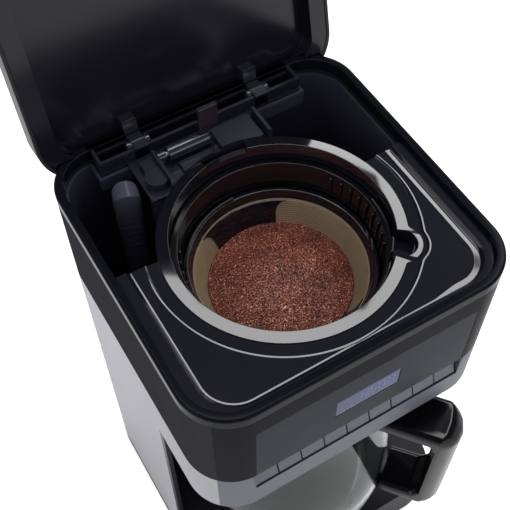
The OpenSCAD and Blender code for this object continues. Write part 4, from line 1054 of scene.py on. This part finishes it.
# %% [markdown]
# The filter has a bail of its own, thinner than the basket's. It lies on the ring's left half.

# %% Filter bail
FILTER_BAIL_IN_R, FILTER_BAIL_OUT_R = 54.3, 56.5
bail_foot = millimetres("filter_handle")[0][2]
bail_top = bail_foot + 1.75
filter_bail_section = rounded([(FILTER_BAIL_IN_R, bail_foot), (FILTER_BAIL_OUT_R, bail_foot),
                               (FILTER_BAIL_OUT_R, bail_top), (FILTER_BAIL_IN_R, bail_top)], 0.7, 3)
settle(add_piece("filter_bail", *lathe(filter_bail_section, FUNNEL, 91.0, 269.0, 150), "filter_handle"))
print("filter bail lies at", round(bail_foot, 1), "mm")

# %% [markdown]
# ## Coffee
#
# Ground coffee is a heap of shards about a millimetre across. A smooth heap with a grainy texture
# looks like felt, so the surface is strewn with thousands of small stones of eight faces, each with
# its own size, turn and dents. The heap itself comes first: a dome with a few broad lumps.

# %% Coffee heap
COFFEE_LOW, COFFEE_HIGH = millimetres("coffee_grounds")
COFFEE_R = COFFEE_HIGH[0] - 0.4
COFFEE_EDGE = 286.5
HEAP_FOOT = COFFEE_LOW[2] + 0.1
HEAP_FOOT_R = CONE_FOOT_R - 2.0
HEAP_TURNS = 180
HEAP_STEPS = 44


def heap_height(x, y):
    """Height of the heap over a place given from the funnel's axis."""
    away = min(math.hypot(x, y) / COFFEE_R, 1.0)
    dome = (COFFEE_HIGH[2] - 1.4 - COFFEE_EDGE) * (1 - away ** 2) ** 1.15
    broad = noise.noise(Vector((x * 0.09, y * 0.09, 3.0)))
    fine = noise.noise(Vector((x * 0.4, y * 0.4, 8.0)))
    return COFFEE_EDGE + dome + (0.8 * broad + 0.45 * fine) * (1 - away ** 6)


def heap_column(turn):
    """The heap's section in one direction: its foot, and its surface from the edge inwards."""
    c, s = math.cos(turn), math.sin(turn)
    column = [(FUNNEL[0] + r * c, FUNNEL[1] + r * s, HEAP_FOOT) for r in (0.0, HEAP_FOOT_R)]
    for k in range(HEAP_STEPS + 1):
        r = COFFEE_R * (HEAP_STEPS - k) / HEAP_STEPS
        column.append((FUNNEL[0] + r * c, FUNNEL[1] + r * s, heap_height(r * c, r * s)))
    return column


heap_rings = [heap_column(math.radians(360 * n / HEAP_TURNS)) for n in range(HEAP_TURNS)]
heap = add_piece("coffee_heap", *loft(heap_rings, joined=True), "coffee_grounds")
print("heap:", len(heap.data.vertices), "corners")

# %% [markdown]
# A grain starts as three axes that cross at right angles. Its six corners lie on them, each at a
# distance of its own, so no two grains are alike. The grains are spread evenly over the heap's area,
# which is why the distance from the middle takes the root of a random number.

# %% Coffee grains
GRAINS = 9500
GRAIN_SIZES = (0.38, 0.46, 0.52, 0.62, 0.75)
draw = random.Random(7)


def grain(place, size):
    """A stone of eight faces; every corner has its own distance from the middle."""
    first, other = [Vector([draw.uniform(-1, 1) for _ in range(3)]).normalized() for _ in range(2)]
    third = first.cross(other).normalized()
    second = third.cross(first)
    verts = []
    for axis in (first, second, third):
        for sign in (-1, 1):
            verts.append(tuple(place + axis * sign * size * draw.uniform(0.55, 1.15)))
    faces = [(0, 2, 4), (2, 1, 4), (1, 3, 4), (3, 0, 4), (2, 0, 5), (1, 2, 5), (3, 1, 5), (0, 3, 5)]
    return verts, faces


stones = []
for n in range(GRAINS):
    r = (COFFEE_R - 0.9) * math.sqrt(draw.random())
    turn = draw.uniform(0, 2 * math.pi)
    x, y = r * math.cos(turn), r * math.sin(turn)
    size = draw.choice(GRAIN_SIZES)
    height = heap_height(x, y) + draw.uniform(0.0, 0.6)
    stones.append(grain(Vector((FUNNEL[0] + x, FUNNEL[1] + y, height)), size))
shards = add_piece("coffee_shards", *merged(*stones), "coffee_grounds")
shards.data.shade_flat()
print("grains:", GRAINS)

# %% [markdown]
# ## Carafe handle
#
# The handle is a thick moulded bow with soft edges. Its side outline is drawn once and repeated
# across the width; near both sides the outline shrinks by the depth of the round, and the outer end
# bulges in plan, so that no edge is left sharp.

# %% Carafe handle
CARAFE_Y = -29.0
HANDLE_TURN = -50.5
HANDLE_LOW, HANDLE_HIGH = millimetres("carafe_handle")
HANDLE_HALF = 17.0
HANDLE_REACH = 117.5
ROUND_FROM = 101
PLAN_SHARE = 0.93


def shrunk(points, distance):
    """A closed outline moved inwards (its points run counter-clockwise)."""
    made = []
    for k, here in enumerate(points):
        before, after = points[k - 1], points[(k + 1) % len(points)]
        one = Vector((here[0] - before[0], here[1] - before[1])).normalized()
        two = Vector((after[0] - here[0], after[1] - here[1])).normalized()
        first, second = Vector((-one.y, one.x)), Vector((-two.y, two.x))
        move = (first + second) / (1 + first.dot(second)) * distance
        made.append((here[0] + move.x, here[1] + move.y))
    return made


# The bow's side outline as distance from the carafe's axis and height, and each corner's radius.
top_z, foot_z = HANDLE_HIGH[2], HANDLE_LOW[2]
bow = [(72.0, foot_z + 2.0), (79.0, foot_z), (HANDLE_REACH - 6, foot_z), (HANDLE_REACH, foot_z + 6),
       (HANDLE_REACH, top_z - 7), (HANDLE_REACH - 7, top_z), (52.0, top_z), (52.0, top_z - 13),
       (98.0, top_z - 14), (103.0, top_z - 20), (103.0, foot_z + 20), (97.0, foot_z + 14),
       (73.5, foot_z + 13)]
bow_rounds = [2, 3, 8, 8, 9, 9, 2, 2, 7, 7, 7, 7, 2]
# Places across the width as a share of its half, and how far the outline shrinks there.
across = [(-1.0, 5.0), (-0.985, 3.4), (-0.94, 1.9), (-0.86, 0.9), (-0.74, 0.3), (-0.5, 0.0), (0.0, 0.0),
          (0.5, 0.0), (0.74, 0.3), (0.86, 0.9), (0.94, 1.9), (0.985, 3.4), (1.0, 5.0)]
c, s = math.cos(math.radians(HANDLE_TURN)), math.sin(math.radians(HANDLE_TURN))
bow_rings = []
for share, inset in across:
    outline = rounded(shrunk(bow, inset), [max(r - inset, 0.6) for r in bow_rounds], 5)
    plan = math.sqrt(1 - (share * PLAN_SHARE) ** 2)
    w = share * HANDLE_HALF
    ring = []
    for r, z in outline:
        reach = r if r < ROUND_FROM else ROUND_FROM + (r - ROUND_FROM) * plan
        ring.append((reach * c - w * s, CARAFE_Y + reach * s + w * c, z))
    bow_rings.append(ring)
settle(add_piece("handle_bow", *loft(bow_rings), "carafe_handle"), 50)
print("handle:", round(top_z - foot_z, 1), "mm tall,", 2 * HANDLE_HALF, "mm wide")

# %% [markdown]
# ## Display
#
# The window is a blue liquid crystal behind clear plastic. Each figure is seven bars, and the time
# reads twelve o'clock, as such a clock shows before it is set. A pale painted highlight closes the lower
# edge.

# %% Figures in the display window
LENS_LOW, LENS_HIGH = millimetres("lcd_lens")
FIGURE_W, FIGURE_H, BAR = 4.6, 8.6, 0.95
SEGMENTS = {"1": "bc", "2": "abged", "0": "abcdef"}
TIME = (("1", 0.0), ("2", 6.4), ("0", 15.4), ("0", 21.8))
COLON_X, COLON_W = 12.7, 1.1
COLON_HEIGHTS = (2.4, 5.4)


def two_tones(name, darker, lighter, specular=0.5):
    """An even finish that wanders between two tones."""
    material, sheet = new_finish(name)
    cloud = noise_at(sheet, place_on_object(sheet), 0.5)
    close_sheet(sheet, sheet.colour_mix(cloud, darker, lighter), 0.3, Specular_IOR_Level=specular)
    return material


def bar_box(x0, z0, x1, z1):
    """A thin bar on the front of the window that never stands out past the rim."""
    y = max(LENS_LOW[1] - 0.03, RIM_LOW[1] + 0.005)
    return block((x0, y, z0), (x1, LENS_LOW[1] + 0.3, z1), 0.12, 2)


def figure(sign, x, z):
    """The bars of one sign whose lower left corner is given."""
    half, w, t = FIGURE_H / 2, FIGURE_W, BAR
    places = {"a": (x + t, z + 2 * half - t, x + w - t, z + 2 * half), "d": (x + t, z, x + w - t, z + t),
              "g": (x + t, z + half - t / 2, x + w - t, z + half + t / 2),
              "f": (x, z + half + 0.2, x + t, z + 2 * half - 0.2), "e": (x, z + 0.2, x + t, z + half - 0.2),
              "b": (x + w - t, z + half + 0.2, x + w, z + 2 * half - 0.2),
              "c": (x + w - t, z + 0.2, x + w, z + half - 0.2)}
    return [bar_box(*places[name]) for name in SEGMENTS[sign]]


bars = []
figures_x = LENS_LOW[0] + 12.5
figures_z = (LENS_LOW[2] + LENS_HIGH[2] - FIGURE_H) / 2 + 0.4
for sign, shift in TIME:
    bars += figure(sign, figures_x + shift, figures_z)
colon_x = figures_x + COLON_X
for height in COLON_HEIGHTS:
    bars.append(bar_box(colon_x, figures_z + height, colon_x + COLON_W, figures_z + height + 1.0))
figures = add_piece("clock_figures", *merged(*bars), "lcd_lens", [], "lens")
figures.data.materials[0] = two_tones("figure_glow", rgb(104, 114, 176), rgb(124, 134, 196), 0.2)
# A pale bar along the window's lower edge: a painted highlight.
edge = add_piece("window_edge", *bar_box(LENS_LOW[0] + 0.2, LENS_LOW[2] + 0.05, LENS_HIGH[0] - 0.2,
                 LENS_LOW[2] + 0.6), "lcd_lens", [], "lens")
edge.data.materials[0] = two_tones("painted_highlight_line", rgb(214, 218, 226), rgb(236, 238, 242))
print("bars in the display:", len(bars), "lens front at", round(LENS_LOW[1], 2))

# %% [markdown]
# ## Chin
#
# The strip under the keys is brushed and darker than the side steel. It shares the side steel's
# slot in the record, so it gets its own finish by hand, with scratches that run level.

# %% Chin finish
chin_finish = brushed("chin_finish", rgb(118, 121, 130), 0.34, (0.03, 1, 1))
frame["nodes"]["chin_strip"].data.materials[0] = chin_finish
print("chin strip:", chin_finish.name)

# %% [markdown]
# ## Filter post
#
# The post in the tank is painted lighter than the hinge parts, as painted light on the black, so that
# it can be made out in the dark. Both the solid and its soft-edged copy take it.

# %% Filter post, painted lighter
# A lighter copy of the hinge black: painted light, not a colour of its own.
pillar_painted_light = moulded("pillar_painted_light", rgb(70, 70, 84), 0.12, 0.03, 0.0, 0.8)
for piece in bpy.data.objects:
    if piece.name.startswith("filter_pillar"):
        piece.data.materials.clear()
        piece.data.materials.append(pillar_painted_light)
        print("lighter finish on", piece.name)

# %% [markdown]
# ## Carafe glass
#
# Glass of this kind is blown in a mould that turns, so it is a thin wall turned about the carafe's
# axis: a round belly and a shoulder that runs into the neck. The lip's edge is round, as a flame
# leaves it.

# %% Carafe glass
GLASS_LOW, GLASS_HIGH = millimetres("carafe_glass")
GLASS_T, NECK_R, BELLY_R, FOOT_R = 2.6, 50.0, GLASS_HIGH[0], 57.0
NECK_H, BELLY_H = 10.0, 45.0
shoulder_h = GLASS_HIGH[2] - NECK_H - GLASS_LOW[2] - BELLY_H


def glass_side(inset, steps=24):
    """The wall's section from its foot to its neck, moved inwards by an inset."""
    side = []
    for n in range(steps + 1):
        turn = math.pi / 2 * n / steps
        side.append((FOOT_R - inset + (BELLY_R - FOOT_R) * math.sin(turn),
                     GLASS_LOW[2] + inset + (BELLY_H - inset) * (1 - math.cos(turn))))
    for n in range(1, 2 * steps + 1):
        share = n / (2 * steps)
        side.append((NECK_R - inset + (BELLY_R - NECK_R) * (1 + math.cos(math.pi * share)) / 2,
                     GLASS_LOW[2] + BELLY_H + shoulder_h * share))
    return side


NEAR_AXIS = 0.02
LIP_STEPS = 6
glass_section = [(NEAR_AXIS, GLASS_LOW[2]), (FOOT_R - 3, GLASS_LOW[2])] + glass_side(0)
for n in range(LIP_STEPS + 1):
    turn = math.pi * n / LIP_STEPS
    glass_section.append((NECK_R - GLASS_T / 2 * (1 - math.cos(turn)),
                          GLASS_HIGH[2] - GLASS_T / 2 * (1 - math.sin(turn))))
glass_section += glass_side(GLASS_T)[::-1]
glass_section += [(FOOT_R - GLASS_T - 3, GLASS_LOW[2] + GLASS_T), (NEAR_AXIS, GLASS_LOW[2] + GLASS_T)]
glass_blown = add_piece("glass_blown", *lathe(glass_section, (0, CARAFE_Y)), "carafe_glass")
settle(glass_blown, 60)
print("glass:", len(glass_blown.data.polygons), "faces")
